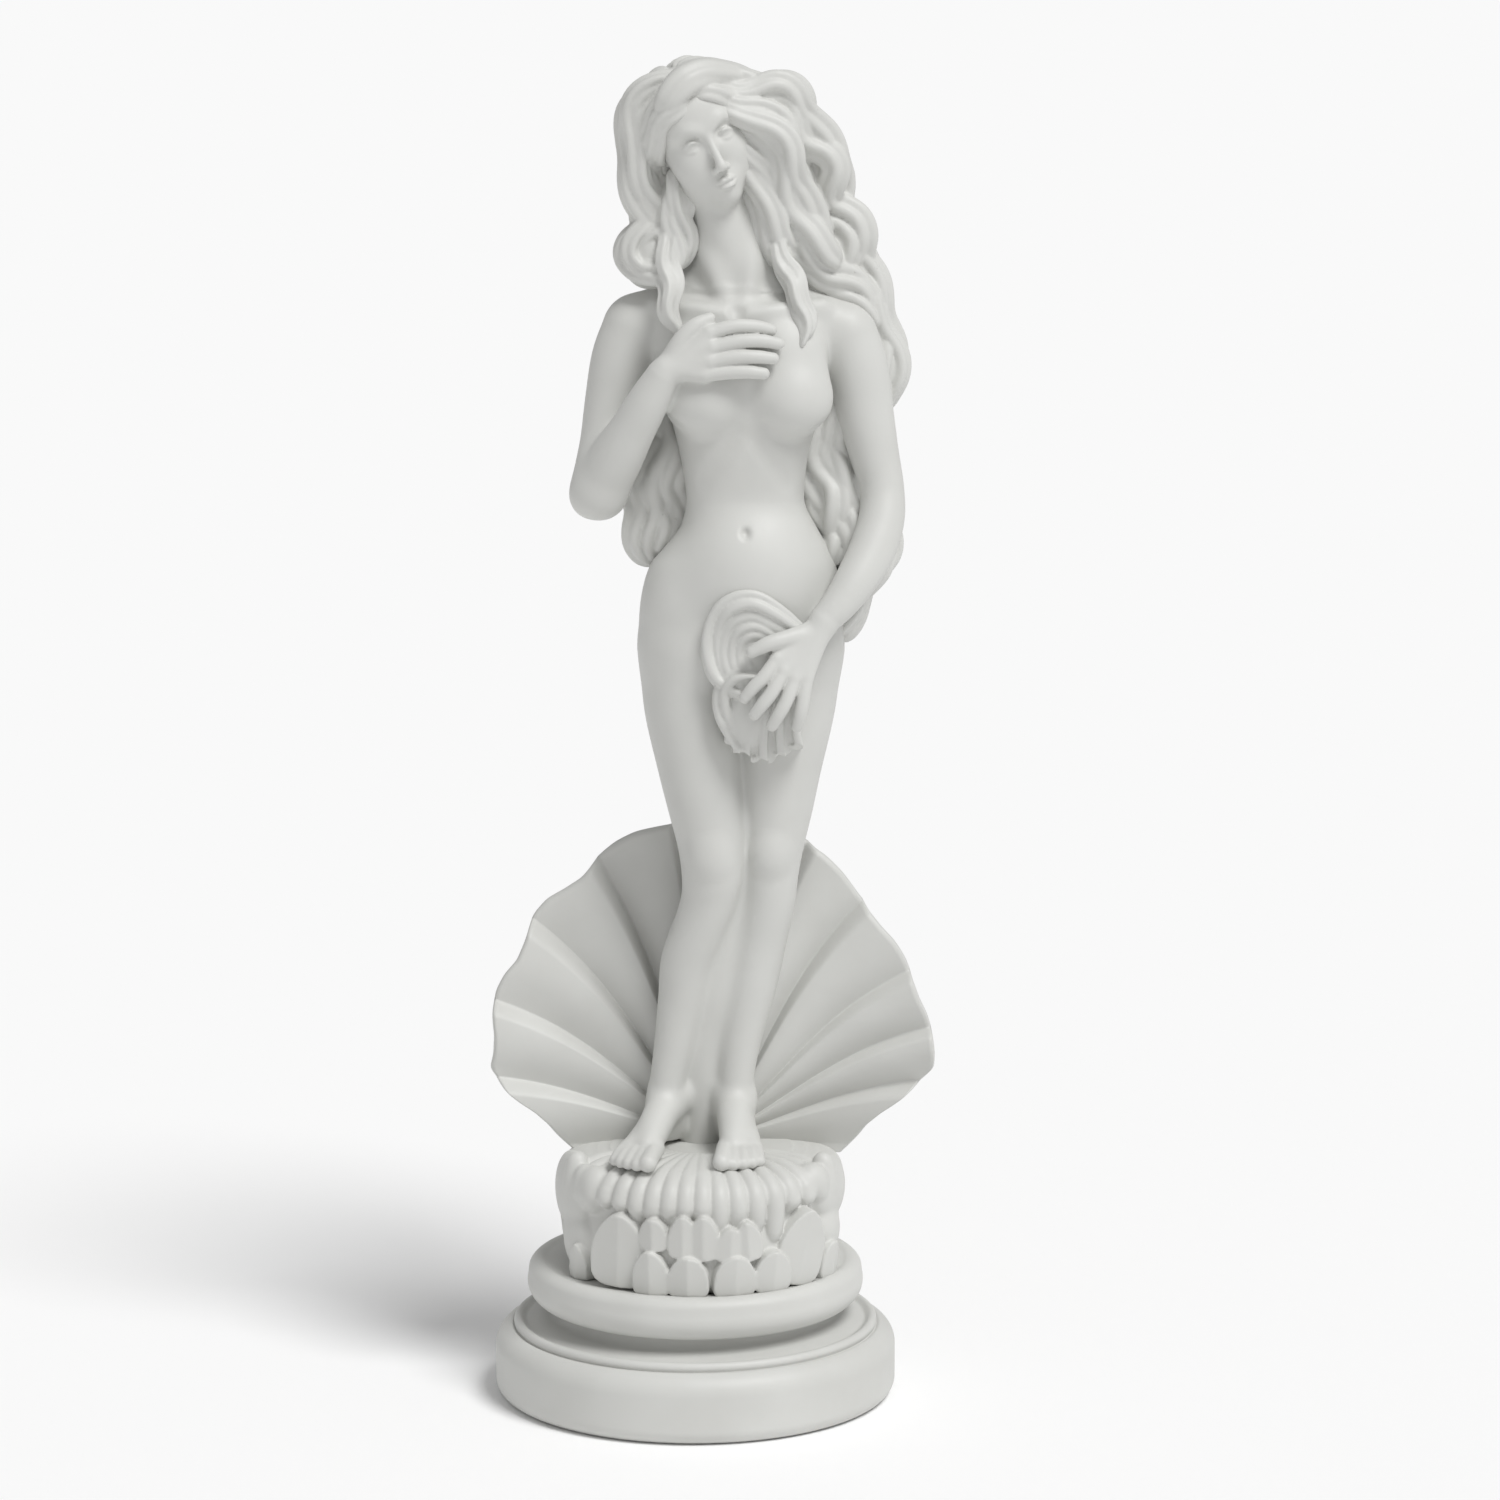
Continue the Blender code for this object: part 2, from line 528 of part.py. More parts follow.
def mound(clay, target, material):
    """The lip of the lower valve runs over the front in ribs, above rows of scales and side leaves."""
    core = turned("mound_core", mound_profile(), 48, target, material)
    core.location.x = MOUND_SHIFT * MM
    bpy.context.view_layer.update()
    clay.join(core)
    rim = MOUND_RADIUS + MOUND_LIP
    for i in range(RIB_COUNT):
        angle = -0.5 * RIB_SPREAD + RIB_SPREAD * i / (RIB_COUNT - 1)
        low = 0.46 - 0.06 * math.cos(3.0 * angle)
        rows = (
            (0.5 * rim, 0.95, 0.6), (0.76 * rim, 0.91, 0.9), (rim - 2.4, 0.83, 1.0),
            (rim - 1.8, low + 0.12, 1.0), (rim - 2.6, low, 0.8),
        )
        clay.limb([(*round_about(r, angle, mound_level(z)), RIB_RADIUS * share) for r, z, share in rows])
    scales = (
        (-34, 0.35, 6.0, 8.0), (-18.5, 0.51, 3.0, 3.6), (-3, 0.5, 5.6, 5.0), (15.8, 0.45, 5.4, 4.4),
        (44.4, 0.35, 5.6, 8.0), (64, 0.79, 3.6, 5.6), (70, 0.45, 3.4, 4.0), (-64, 0.84, 3.4, 3.4),
        (-57, 0.15, 3.2, 4.4), (-19.8, 0.19, 4.0, 5.0), (-4.5, 0.17, 4.2, 4.5), (13.5, 0.16, 4.4, 4.5),
        (29.8, 0.18, 4.2, 4.5), (62, 0.16, 3.8, 4.2), (-100, 0.5, 5.4, 6.0), (-136, 0.36, 5.4, 6.0),
        (-172, 0.5, 5.4, 6.0), (148, 0.36, 5.4, 6.0), (112, 0.5, 5.4, 6.0),
    )
    for degrees, share, half_width, half_height in scales:
        angle = math.radians(degrees)
        place = round_about(MOUND_RADIUS, angle, mound_level(share))
        clay.ball(place, (half_width, SCALE_THICKNESS, half_height), Matrix.Rotation(angle, 3, "Z"))


def casting(target, material):
    """Fuses figure, hair, cloth, shell and mound into one solid, and thins its faces."""
    clay = Clay()
    pose = Pose()
    for make in (trunk, legs, arms, head, hair, cloth):
        make(clay, pose)
    shell(clay, target, material)
    mound(clay, target, material)
    bmesh.ops.scale(clay.mesh, vec=(MM,) * 3, verts=clay.mesh.verts)
    data = bpy.data.meshes.new("figure_with_shell")
    clay.mesh.to_mesh(data)
    clay.mesh.free()
    obj = bpy.data.objects.new("figure_with_shell", data)
    target.objects.link(obj)
    data.materials.append(material)
    fuse = obj.modifiers.new("fuse", "REMESH")
    fuse.mode = "VOXEL"
    fuse.voxel_size = VOXEL * MM
    melt = obj.modifiers.new("melt", "SMOOTH")
    melt.factor = 0.5
    melt.iterations = MELT_STEPS
    thin = obj.modifiers.new("thin", "DECIMATE")
    bpy.context.view_layer.update()
    fused = obj.evaluated_get(bpy.context.evaluated_depsgraph_get())
    faces = sum(len(polygon.vertices) - 2 for polygon in fused.data.polygons)
    thin.ratio = min(1.0, CASTING_TRIANGLES / faces)
    return obj


def main():
    clear_scene()
    target = collection_of("aphrodite_statuette")
    white = plaster("cast_alabaster", (0.80, 0.81, 0.79))
    plinth_white = plaster("plinth_alabaster", (0.80, 0.81, 0.79))
    plinth = turned("plinth", plinth_profile(), PLINTH_STEPS, target, plinth_white)
    plinth.data.shade_smooth()
    casting(target, white)


main()
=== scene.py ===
"""Dressed model of the statuette: cast stone figure, hair, cloth, shell and mound on a turned plinth.

Places are in millimetres, in the frame of the solids, until a mesh is made of them.
"""
import math

import bpy
import numpy as np
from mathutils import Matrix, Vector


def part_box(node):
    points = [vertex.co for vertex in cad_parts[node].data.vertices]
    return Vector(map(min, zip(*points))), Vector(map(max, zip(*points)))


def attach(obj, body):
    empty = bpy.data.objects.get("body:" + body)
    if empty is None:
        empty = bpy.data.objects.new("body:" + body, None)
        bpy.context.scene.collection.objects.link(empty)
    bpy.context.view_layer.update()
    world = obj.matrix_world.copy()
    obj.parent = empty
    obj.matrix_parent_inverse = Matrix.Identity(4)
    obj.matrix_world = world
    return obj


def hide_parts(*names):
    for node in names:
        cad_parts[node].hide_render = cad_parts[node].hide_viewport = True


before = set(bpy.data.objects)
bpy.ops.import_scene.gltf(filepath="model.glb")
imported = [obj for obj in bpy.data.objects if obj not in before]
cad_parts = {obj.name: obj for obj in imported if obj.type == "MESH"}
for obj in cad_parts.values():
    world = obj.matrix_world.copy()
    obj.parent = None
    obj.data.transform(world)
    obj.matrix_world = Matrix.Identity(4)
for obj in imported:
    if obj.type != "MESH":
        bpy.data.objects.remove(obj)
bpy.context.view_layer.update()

MM = 0.001

figure_low = np.array(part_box("figure_with_shell")[0]) / MM
plinth_high = np.array(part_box("plinth")[1]) / MM

MOUND_HEIGHT = 26.6
MOUND_BOTTOM = figure_low[2]
MOUND_TOP = MOUND_BOTTOM + MOUND_HEIGHT
MOUND_RADIUS = 30.0
MOUND_LIP = 4.0
MOUND_SHIFT = 1.4
GRID = 0.3
PIECE_TRIANGLES = 190000


def rotation(axis, degrees):
    """Matrix that turns places by degrees about one of the three axes."""
    c, s = math.cos(math.radians(degrees)), math.sin(math.radians(degrees))
    return np.array({
        "X": ((1, 0, 0), (0, c, -s), (0, s, c)),
        "Y": ((c, 0, s), (0, 1, 0), (-s, 0, c)),
        "Z": ((c, -s, 0), (s, c, 0), (0, 0, 1)),
    }[axis], float)


def along(points, spacing=1.2):
    """Catmull-Rom curve through the rows of points (place and further values), evenly sampled."""
    p = np.asarray(points, float)
    p = np.vstack([2 * p[0] - p[1], p, 2 * p[-1] - p[-2]])
    a, b, c, d = p[:-3], p[1:-2], p[2:-1], p[3:]
    steps = np.maximum(2, np.ceil(np.linalg.norm((c - b)[:, :3], axis=1) / spacing)).astype(int)
    seg = np.repeat(np.arange(len(b)), steps)
    first = np.concatenate([[0], np.cumsum(steps)[:-1]])
    t = ((np.arange(len(seg)) - first[seg]) / steps[seg])[:, None]
    a, b, c, d = a[seg], b[seg], c[seg], d[seg]
    q = 0.5 * (2 * b + (c - a) * t + (2 * a - 5 * b + 4 * c - d) * t**2 + (3 * b - a - 3 * c + d) * t**3)
    return np.vstack([q, p[-2]])


class Field:
    """Signed distance on a grid in millimetres, negative inside, built up by smooth unions and cuts."""

    def __init__(self, low, high, step):
        """An empty grid from low to high, every value 6 mm outside."""
        self.low, self.step = np.array(low, float), step
        self.count = np.ceil((np.array(high) - self.low) / step).astype(int) + 1
        self.value = np.full(self.count, 6.0, np.float32)
        self.turn, self.origin = np.eye(3), np.zeros(3)

    def frame(self, origin=(0, 0, MOUND_TOP), turn=None):
        """Later places are counted from origin, along axes turned by turn."""
        self.origin, self.turn = np.array(origin, float), np.eye(3) if turn is None else turn

    def window(self, low, high):
        """The part of the grid between two corners, and its x, y and z."""
        a = np.clip(np.floor((low - self.low) / self.step), 0, self.count).astype(int)
        b = np.clip(np.ceil((high - self.low) / self.step) + 1, 0, self.count).astype(int)
        cut = tuple(slice(i, j) for i, j in zip(a, b))
        axes = [(self.low[k] + self.step * np.arange(a[k], b[k])).astype(np.float32) for k in range(3)]
        return cut, axes[0][:, None, None], axes[1][None, :, None], axes[2][None, None, :]

    def blend(self, cut, distance, soft, sign=1):
        """Smooth union (sign 1) or smooth cut (sign -1) of the shape at distance with what is there."""
        old = self.value[cut] * sign
        lap = np.maximum(soft - np.abs(old - distance), 0) / soft
        self.value[cut] = sign * (np.minimum(old, distance) - lap * lap * soft / 4)

    def world(self, place):
        """A place in the present frame, p = origin + turn place."""
        return self.origin + self.turn @ np.asarray(place, float)

    def ball(self, place, radii, soft, turn=None, sign=1):
        """Ellipsoid with half axes radii: distance = k (k - 1) / m, where k = |p / r| and m = |p / r^2|."""
        centre = self.world(place)
        axes = self.turn if turn is None else self.turn @ turn
        radii = np.broadcast_to(np.asarray(radii, float), 3)
        reach = np.sqrt(((axes * radii) ** 2).sum(axis=1)) + soft + 1.0
        cut, x, y, z = self.window(centre - reach, centre + reach)
        x, y, z = x - centre[0], y - centre[1], z - centre[2]
        k = m = 0
        for axis, r in zip(axes.T.astype(np.float32), radii):
            part = (x * axis[0] + y * axis[1] + z * axis[2]) / r
            k = k + part**2
            m = m + (part / r) ** 2
        k, m = np.sqrt(k), np.sqrt(m) + 1e-6
        self.blend(cut, k * (k - 1) / m, soft, sign)

    def limb(self, rows, soft, spacing=1.2, sign=1, flat=(1, 1, 1)):
        """Swept ball along a curve through (x, y, z, radius): least of |p - a - t (b - a)| - r(t) over its
        runs."""
        rows = np.asarray(rows, float)
        places = np.array([self.world(row[:3]) for row in rows])
        run = along(np.column_stack([places, rows[:, 3]]), spacing)
        widest = run[:, 3].max() + soft + 1.0
        cut, x, y, z = self.window(run[:, :3].min(0) - widest, run[:, :3].max(0) + widest)
        shape = (x.size, y.size, z.size)
        nearest = np.full(shape, 6.0, np.float32)
        corner = np.array([s.start for s in cut])
        flat = np.asarray(flat, float)
        for a, b in zip(run[:-1], run[1:]):
            low, high = np.minimum(a[:3], b[:3]) - widest, np.maximum(a[:3], b[:3]) + widest
            part, px, py, pz = self.window(low, high)
            local = tuple(slice(s.start - c, s.stop - c) for s, c in zip(part, corner))
            local = tuple(slice(max(s.start, 0), min(s.stop, n)) for s, n in zip(local, shape))
            if any(s.stop <= s.start for s in local):
                continue
            px, py, pz = x[local[0]], y[:, local[1]], z[:, :, local[2]]
            d = (b - a)[:3]
            px, py, pz = (px - a[0]) / flat[0], (py - a[1]) / flat[1], (pz - a[2]) / flat[2]
            d = d / flat
            t = np.clip((px * d[0] + py * d[1] + pz * d[2]) / (d @ d + 1e-9), 0, 1)
            off = np.sqrt((px - t * d[0]) ** 2 + (py - t * d[1]) ** 2 + (pz - t * d[2]) ** 2)
            gap = off - (a[3] + t * (b[3] - a[3]))
            nearest[local] = np.minimum(nearest[local], gap)
        self.blend(cut, nearest, soft, sign)

    def sections(self, rows, soft, fullness=2.3):
        """Body of stacked sections (z, middle, half width, front, back): (u^n + v^n)^(1/n) = 1 at each
        height."""
        rows = np.asarray(rows, float)[np.argsort([row[0] for row in rows])]
        fine = along(np.column_stack([rows[:, 0], np.zeros((len(rows), 2)), rows[:, 1:]]), 0.8)
        low = self.origin + np.array([(rows[:, 1] - rows[:, 2]).min() - soft - 2,
                                      -rows[:, 3].max() - soft - 2, rows[0, 0] - soft])
        high = self.origin + np.array([(rows[:, 1] + rows[:, 2]).max() + soft + 2,
                                       rows[:, 4].max() + soft + 4, rows[-1, 0] + soft])
        cut, x, y, z = self.window(low, high)
        level = z[0, 0] - self.origin[2]
        middle, half, front, back = (np.interp(level, fine[:, 0],
                                               fine[:, k]).astype(np.float32) for k in range(3, 7))
        y = y - self.origin[1] - 1.0
        u = np.abs(x - self.origin[0] - middle) / half
        v = np.abs(y) / np.where(y < 0, front, back)
        k = (u**fullness + v**fullness) ** (1 / fullness)
        distance = (k - 1) * np.minimum(half, np.minimum(front, back)) * 0.9
        ends = np.maximum(rows[0, 0] - level, level - rows[-1, 0])[None, None, :]
        self.blend(cut, np.maximum(distance, ends), soft)


HEAD_AT = (1.2, -0.6, MOUND_TOP + 226.4)
HEAD_TURN = rotation("Y", -23) @ rotation("Z", 11) @ rotation("X", 8)


def head(f):
    """Head in its own frame: eye line at 0, chin at -15.5, crown at 15.5, face towards -Y."""
    f.frame(HEAD_AT, HEAD_TURN)
    f.ball((0, 2.4, 4.0), (10.2, 12.4, 11.4), 1)
    f.ball((0, -2.6, -3.4), (8.3, 8.0, 10.6), 4)
    f.ball((0, -3.8, 6.0), (8.4, 6.6, 6.4), 3)
    for s in (-1, 1):
        f.ball((s * 4.5, -5.6, -4.6), (3.8, 4.0, 4.4), 3)
        f.ball((s * 4.4, -2.6, -9.4), (3.2, 4.8, 3.6), 3.5)
    f.ball((0, -7.2, -13.2), (2.7, 2.9, 2.4), 2.6)
    f.ball((0, -8.0, -9.6), (3.4, 3.0, 3.2), 2.5)
    for s in (-1, 1):
        f.ball((s * 4.1, -11.3, 0.5), (2.5, 1.9, 1.6), 1.8, sign=-1)
        f.limb(((s * 1.6, -10.2, 2.6, 0.6), (s * 4.0, -10.1, 3.7, 0.6), (s * 6.8, -8.2, 2.8, 0.5)), 2.2,
               0.6)
        eye(f, s)
    f.limb(((0, -9.7, 2.8, 0.85), (0, -10.7, 0.0, 0.8), (0, -12.1, -3.6, 0.9), (0, -12.9, -5.6, 1.0)), 1.0,
           0.6)
    f.ball((0, -12.7, -6.1), (1.25, 1.2, 1.0), 0.8)
    for s in (-1, 1):
        f.ball((s * 1.35, -11.7, -6.6), (0.75, 1.15, 0.75), 0.7)
        f.ball((s * 0.65, -12.4, -7.25), (0.36, 0.6, 0.3), 0.3, sign=-1)
    mouth(f)
    for s in (-1, 1):
        ear(f, s)


def eye(f, s):
    """Blank carved eye: a ball between an upper lid, a lower lid and the fold above."""
    f.ball((s * 3.85, -7.9, 0.0), 2.25, 0.3)
    f.limb(((s * 1.9, -9.2, -0.5, 0.22), (s * 2.7, -9.95, 0.45, 0.34), (s * 3.95, -10.25, 0.8, 0.4),
            (s * 5.2, -9.6, 0.4, 0.34), (s * 6.1, -8.5, -0.4, 0.22)), 0.35, 0.4)
    f.limb(((s * 2.0, -9.2, -0.7, 0.2), (s * 2.9, -9.8, -1.1, 0.26), (s * 4.0, -10.05, -1.3, 0.28),
            (s * 5.2, -9.5, -1.1, 0.26), (s * 6.0, -8.5, -0.55, 0.2)), 0.45, 0.4)
    f.limb(((s * 2.3, -10.0, 1.35, 0.16), (s * 3.95, -10.6, 1.75, 0.2), (s * 5.7, -9.6, 1.3, 0.16)), 0.6,
           0.4, sign=-1)


def mouth(f):
    """Two small full lips, the line between them, and the hollows above and below."""
    f.limb(((-2.3, -10.1, -9.75, 0.3), (-1.1, -11.2, -9.35, 0.62), (-0.4, -11.55, -9.15, 0.6),
            (0, -11.55, -9.28, 0.55),
            (0.4, -11.55, -9.15, 0.6), (1.1, -11.2, -9.35, 0.62), (2.3, -10.1, -9.75, 0.3)), 0.6, 0.4)
    f.limb(((-2.0, -10.2, -10.25, 0.3), (-0.95, -11.05, -10.75, 0.7), (0, -11.3, -10.85, 0.78),
            (0.95, -11.05, -10.75, 0.7), (2.0, -10.2, -10.25, 0.3)), 0.6, 0.4)
    f.limb(((-2.5, -10.5, -9.85, 0.15), (-1.2, -11.6, -10.0, 0.17), (0, -12.0, -10.05, 0.19),
            (1.2, -11.6, -10.0, 0.17), (2.5, -10.5, -9.85, 0.15)), 0.35, 0.4, sign=-1)
    f.limb(((0, -12.3, -7.9, 0.3), (0, -12.2, -8.6, 0.34)), 0.6, 0.4, sign=-1)
    f.ball((0, -11.7, -12.0), (1.4, 0.7, 0.5), 1.0, sign=-1)


def ear(f, s):
    """A rounded rim with a hollow in it, at side s of the head."""
    f.ball((s * 9.4, 1.8, -2.8), (1.2, 2.2, 3.4), 0.8, rotation("Z", s * 20))
    f.ball((s * 10.4, 1.0, -2.4), (0.8, 1.0, 1.8), 0.7, rotation("Z", s * 20), sign=-1)


def trunk(f):
    """Torso of stacked sections, with breasts, creases, navel, seat, collarbones, shoulder blades and
    spine."""
    f.frame()
    f.sections((
        (192.0, 9.8, 8.5, 5.0, 8.0), (188.5, 10.0, 18.5, 9.0, 10.5), (182.5, 9.9, 20.0, 12.0, 12.0),
        (176.5, 10.0, 18.8, 13.0, 12.0), (170.5, 10.4, 17.4, 13.0, 11.5), (163.5, 11.2, 16.0, 12.0, 10.5),
        (156.5, 11.1, 14.2, 11.5, 10.0), (148.5, 11.3, 13.1, 10.5, 9.0), (144.5, 11.5, 13.3, 10.8, 9.0),
        (140.0, 12.0, 15.2, 11.5, 9.8), (135.5, 11.5, 18.2, 12.2, 11.0), (131.0, 10.8, 20.8, 13.0, 13.0),
        (123.5, 10.5, 22.4, 13.5, 15.0), (114.5, 10.5, 22.6, 13.0, 15.5), (107.0, 10.4, 20.4, 11.0, 13.5),
        (101.0, 10.4, 15.0, 7.0, 9.0), (96.0, 10.4, 8.0, 3.0, 4.0)), 4)
    for x in (2.2, 21.8):
        lean = rotation("Z", -10 if x < 10 else 10)
        f.ball((x, -7.6, 169.4), (8.8, 7.4, 8.0), 2.4, lean)
        f.ball((x * 0.9 + 1.0, -6.6, 176.0), (7.4, 4.8, 9.0), 5.0, lean)
    for s in (-1, 1):
        f.limb(((11.4 + 1.6 * s, -12.6, 161.5, 0.5), (11.4 + 6 * s, -12.2, 156.0, 0.8),
                (11.4 + 10.5 * s, -9.4, 150.5, 0.6)), 3.4, sign=-1)
    f.limb(((-5.0, -9.4, 164.6, 0.4), (-0.6, -12.6, 161.2, 0.5), (4.6, -13.2, 160.4, 0.6),
            (8.8, -12.6, 163.6, 0.4)), 1.8, sign=-1)
    f.limb(((15.2, -12.6, 163.6, 0.4), (19.6, -13.2, 160.4, 0.6), (24.4, -11.8, 160.8, 0.5),
            (28.4, -8.4, 164.6, 0.4)), 1.8, sign=-1)
    f.ball((11.6, -6.0, 131.0), (11.0, 8.6, 11.0), 6.0)
    for x in (0.6, 20.6):
        f.ball((x, 8.0, 110.0), (10.6, 9.2, 11.6), 4.0)
    f.limb(((10.4, 18.0, 124, 0.6), (10.5, 18.4, 115, 1.6), (10.5, 17.4, 106, 2.2), (10.5, 15.0, 99, 2.0)),
           3.0, sign=-1)
    f.limb(((10.4, 14.2, 184, 0.6), (10.8, 13.0, 165, 1.0), (11.0, 11.6, 148, 1.0), (10.6, 15.4, 131, 0.6)),
           3.0, sign=-1)
    f.limb(((11.0, -14.6, 163.0, 0.7), (11.2, -13.2, 154.0, 0.8), (11.4, -12.6, 147.0, 0.4)), 2.6, sign=-1)
    f.ball((11.4, -13.1, 140.4), (0.85, 1.8, 1.15), 1.2, sign=-1)
    for s in (-1, 1):
        f.limb(((9.6 + 2.4 * s, -7.6, 187.8, 1.0), (9.8 + 9 * s, -7.0, 189.0, 0.9),
                (10 + 18 * s, -2.6, 189.6, 0.9)), 3.4)
        f.ball((10 + 9.5 * s, 9.6, 172.0), (5.4, 2.4, 8.4), 5.0)
    f.ball((9.5, -9.4, 189.6), (1.4, 1.6, 1.4), 2.2, sign=-1)


def neck(f):
    """Neck, slopes to the shoulders, and the two cords of the throat."""
    f.frame()
    f.limb(((9.8, 2.6, 186.0, 8.6), (8.9, 2.2, 194.0, 7.0), (7.4, 1.6, 202.0, 6.4), (4.4, 1.2, 214.0, 6.6)),
           2.5)
    f.limb(((-12.4, 3.2, 185.6, 5.6), (-2.5, 3.6, 190.0, 5.6), (5.0, 3.2, 197.0, 5.2)), 4)
    f.limb(((33.0, 3.2, 184.6, 5.2), (22.0, 3.6, 189.2, 5.4), (13.0, 3.2, 197.0, 5.2)), 4)
    f.limb(((8.0, -5.4, 189.0, 0.5), (4.4, -3.2, 197.0, 0.9), (0.2, 0.8, 206.0, 1.1)), 4.0)
    f.limb(((11.2, -5.4, 189.0, 0.5), (12.6, -2.8, 198.5, 0.9), (12.2, 0.8, 208.5, 1.1)), 4.0)


def legs(f):
    """Both legs, knees and calves, the web of stone between them, and the feet."""
    f.frame()
    f.limb((
        (0.0, 1.5, 112.0, 11.8), (-0.6, 1.0, 101.0, 10.7), (1.0, -0.5, 88.0, 9.4), (2.4, -2.0, 79.0, 8.5),
        (3.7, -3.0, 70.5, 7.6), (4.0, -3.6, 63.5, 6.9), (3.2, -2.8, 57.0, 6.2), (0.9, -1.2, 49.5, 5.9),
        (-1.6, 0.8, 42.0, 6.0), (-3.0, 1.6, 33.0, 5.3), (-4.6, 1.6, 23.5, 4.5), (-6.0, 1.4, 15.5, 4.0),
        (-6.4, 1.2, 9.0, 4.1)), 2.5, flat=(1, 1.06, 1))
    f.limb((
        (20.6, 3.0, 112.0, 12.2), (20.4, 3.0, 100.5, 11.1), (18.8, 3.0, 87.0, 9.7), (18.0, 2.2, 78.0, 8.6),
        (17.4, 1.2, 69.5, 7.2), (16.8, 0.8, 62.5, 6.5), (16.2, 1.8, 55.5, 6.3), (14.3, 3.6, 46.0, 6.3),
        (12.5, 4.2, 36.5, 6.1), (11.2, 3.8, 29.5, 5.4), (10.0, 3.2, 22.5, 4.7), (9.3, 2.4, 15.5, 4.1),
        (9.0, 1.8, 9.0, 4.2)), 2.0, flat=(1, 1.06, 1))
    f.ball((3.6, -8.4, 68.0), (3.9, 3.0, 4.6), 3.0)
    f.ball((16.8, -4.2, 67.5), (3.8, 3.0, 4.4), 3.0)
    f.ball((-1.8, 5.4, 44.0), (4.2, 3.4, 9.0), 3.0)
    f.ball((14.0, 8.0, 43.0), (4.2, 3.4, 9.0), 3.0)
    f.limb(((10.6, 1.8, 74.0, 5.2), (8.8, 2.0, 58.0, 4.8), (6.2, 2.4, 44.0, 4.2), (4.4, 3.2, 32.0, 3.9),
            (2.4, 4.8, 23.0, 4.5),
            (1.5, 6.0, 12.0, 5.0), (1.6, 6.8, -1.0, 5.2)), 2.6)
    foot(f, (-5.6, 5.0), (-11.6, -15.5), (-13.6, -24.6), -1)
    foot(f, (9.0, 5.6), (9.8, -15.0), (9.6, -24.4), 1)


def foot(f, heel, ball, tip, side):
    """Heel, arch, ball and five toes; side is +1 for her left foot, whose small toe lies towards +X."""
    heel, ball, tip = map(np.array, (heel, ball, tip))
    across = np.array([-(tip - ball)[1], (tip - ball)[0]]) / np.linalg.norm(tip - ball)
    across = across * (side if across[0] > 0 else -side)
    f.ball((*heel, 4.0), (3.7, 4.6, 4.0), 2.0)
    at = lambda share, off, z: (*(heel + (ball - heel) * share + across * off), z)
    f.limb(((*at(0.05, 0, 8.5), 4.0), (*at(0.4, -0.4, 7.6), 4.0), (*at(0.72, -0.6, 5.2), 3.6),
            (*at(1.0, -1.2, 3.0), 2.9)), 2.5)
    f.limb(((*at(0.1, 0.4, 4.0), 3.6), (*at(0.6, 2.0, 3.0), 3.1), (*at(0.98, 3.0, 2.3), 2.4)), 2.5)
    for s in (-1, 1):
        f.ball((heel[0] + 3.0 * s, heel[1] - 3.2, 11.0 - 0.6 * s), (0.8, 1.2, 1.3), 3.4)
    reach = (1.0, 0.96, 0.86, 0.75, 0.6)
    off = (-3.2, -0.9, 1.1, 2.9, 4.4)
    size = (1.95, 1.45, 1.4, 1.35, 1.3)
    for r, o, w in zip(reach, off, size):
        root = ball + across * o * 0.9 - (tip - ball) * 0.1
        end = ball + (tip - ball) * r + across * o * 1.1
        mid = 0.55 * end + 0.45 * root
        f.limb(((*root, 2.6, w * 1.05), (*mid, 2.4, w), (*end, w * 0.95, w * 1.02)), 0.7, 0.5)


def arms(f):
    """Her right arm bent up to the chest, her left arm down to the hip, and both hands."""
    f.frame()
    f.limb((
        (-12.8, 3.0, 183.6, 7.4), (-15.4, 2.6, 177.0, 7.2), (-17.7, 1.6, 168.0, 6.3),
        (-19.2, 0.4, 159.0, 5.9),
        (-20.6, -1.6, 151.5, 6.0), (-20.8, -3.4, 148.5, 6.0)), 2.2)
    f.limb((
        (-20.8, -3.0, 148.6, 6.0), (-17.2, -6.4, 155.8, 5.9), (-13.2, -9.8, 163.0, 5.0),
        (-9.8, -12.2, 169.2, 4.5),
        (-6.6, -13.8, 175.0, 3.7)), 1.8)
    f.ball((-23.4, -2.4, 147.0), (3.0, 3.4, 3.4), 2.5)
    f.limb((
        (33.6, 3.0, 182.2, 7.0), (35.8, 3.0, 175.5, 7.0), (37.4, 3.2, 167.0, 6.5), (39.8, 2.6, 156.5, 5.5),
        (41.6, 1.2, 148.5, 4.9), (41.4, -1.4, 142.0, 5.1), (39.2, -5.0, 135.5, 5.1),
        (35.6, -9.0, 129.5, 4.6),
        (31.9, -11.6, 124.6, 3.9), (28.8, -13.0, 121.4, 3.3)), 2.0)
    right_hand(f)
    left_hand(f)


def hand(f, wrist, knuckles, fingers, thumb, soft=1.3):
    """Four bones from wrist to knuckles under one skin, a chain of three joints for each finger, and a
    thumb."""
    for knuckle in knuckles:
        middle = 0.5 * (np.array(wrist) + knuckle)
        f.limb(((*wrist, 2.5), (*middle, 2.0), (*knuckle, 1.7)), soft, 0.8)
    for knuckle, joints in zip(knuckles, fingers):
        rows = [(*knuckle, 1.62)]
        rows += [(*joint, width) for joint, width in zip(joints, (1.56, 1.5, 1.3))]
        f.limb(rows, 0.45, 0.6)
    f.limb([(*joint, width) for joint, width in zip(thumb, (2.3, 1.95, 1.7, 1.35))], 0.8, 0.6)


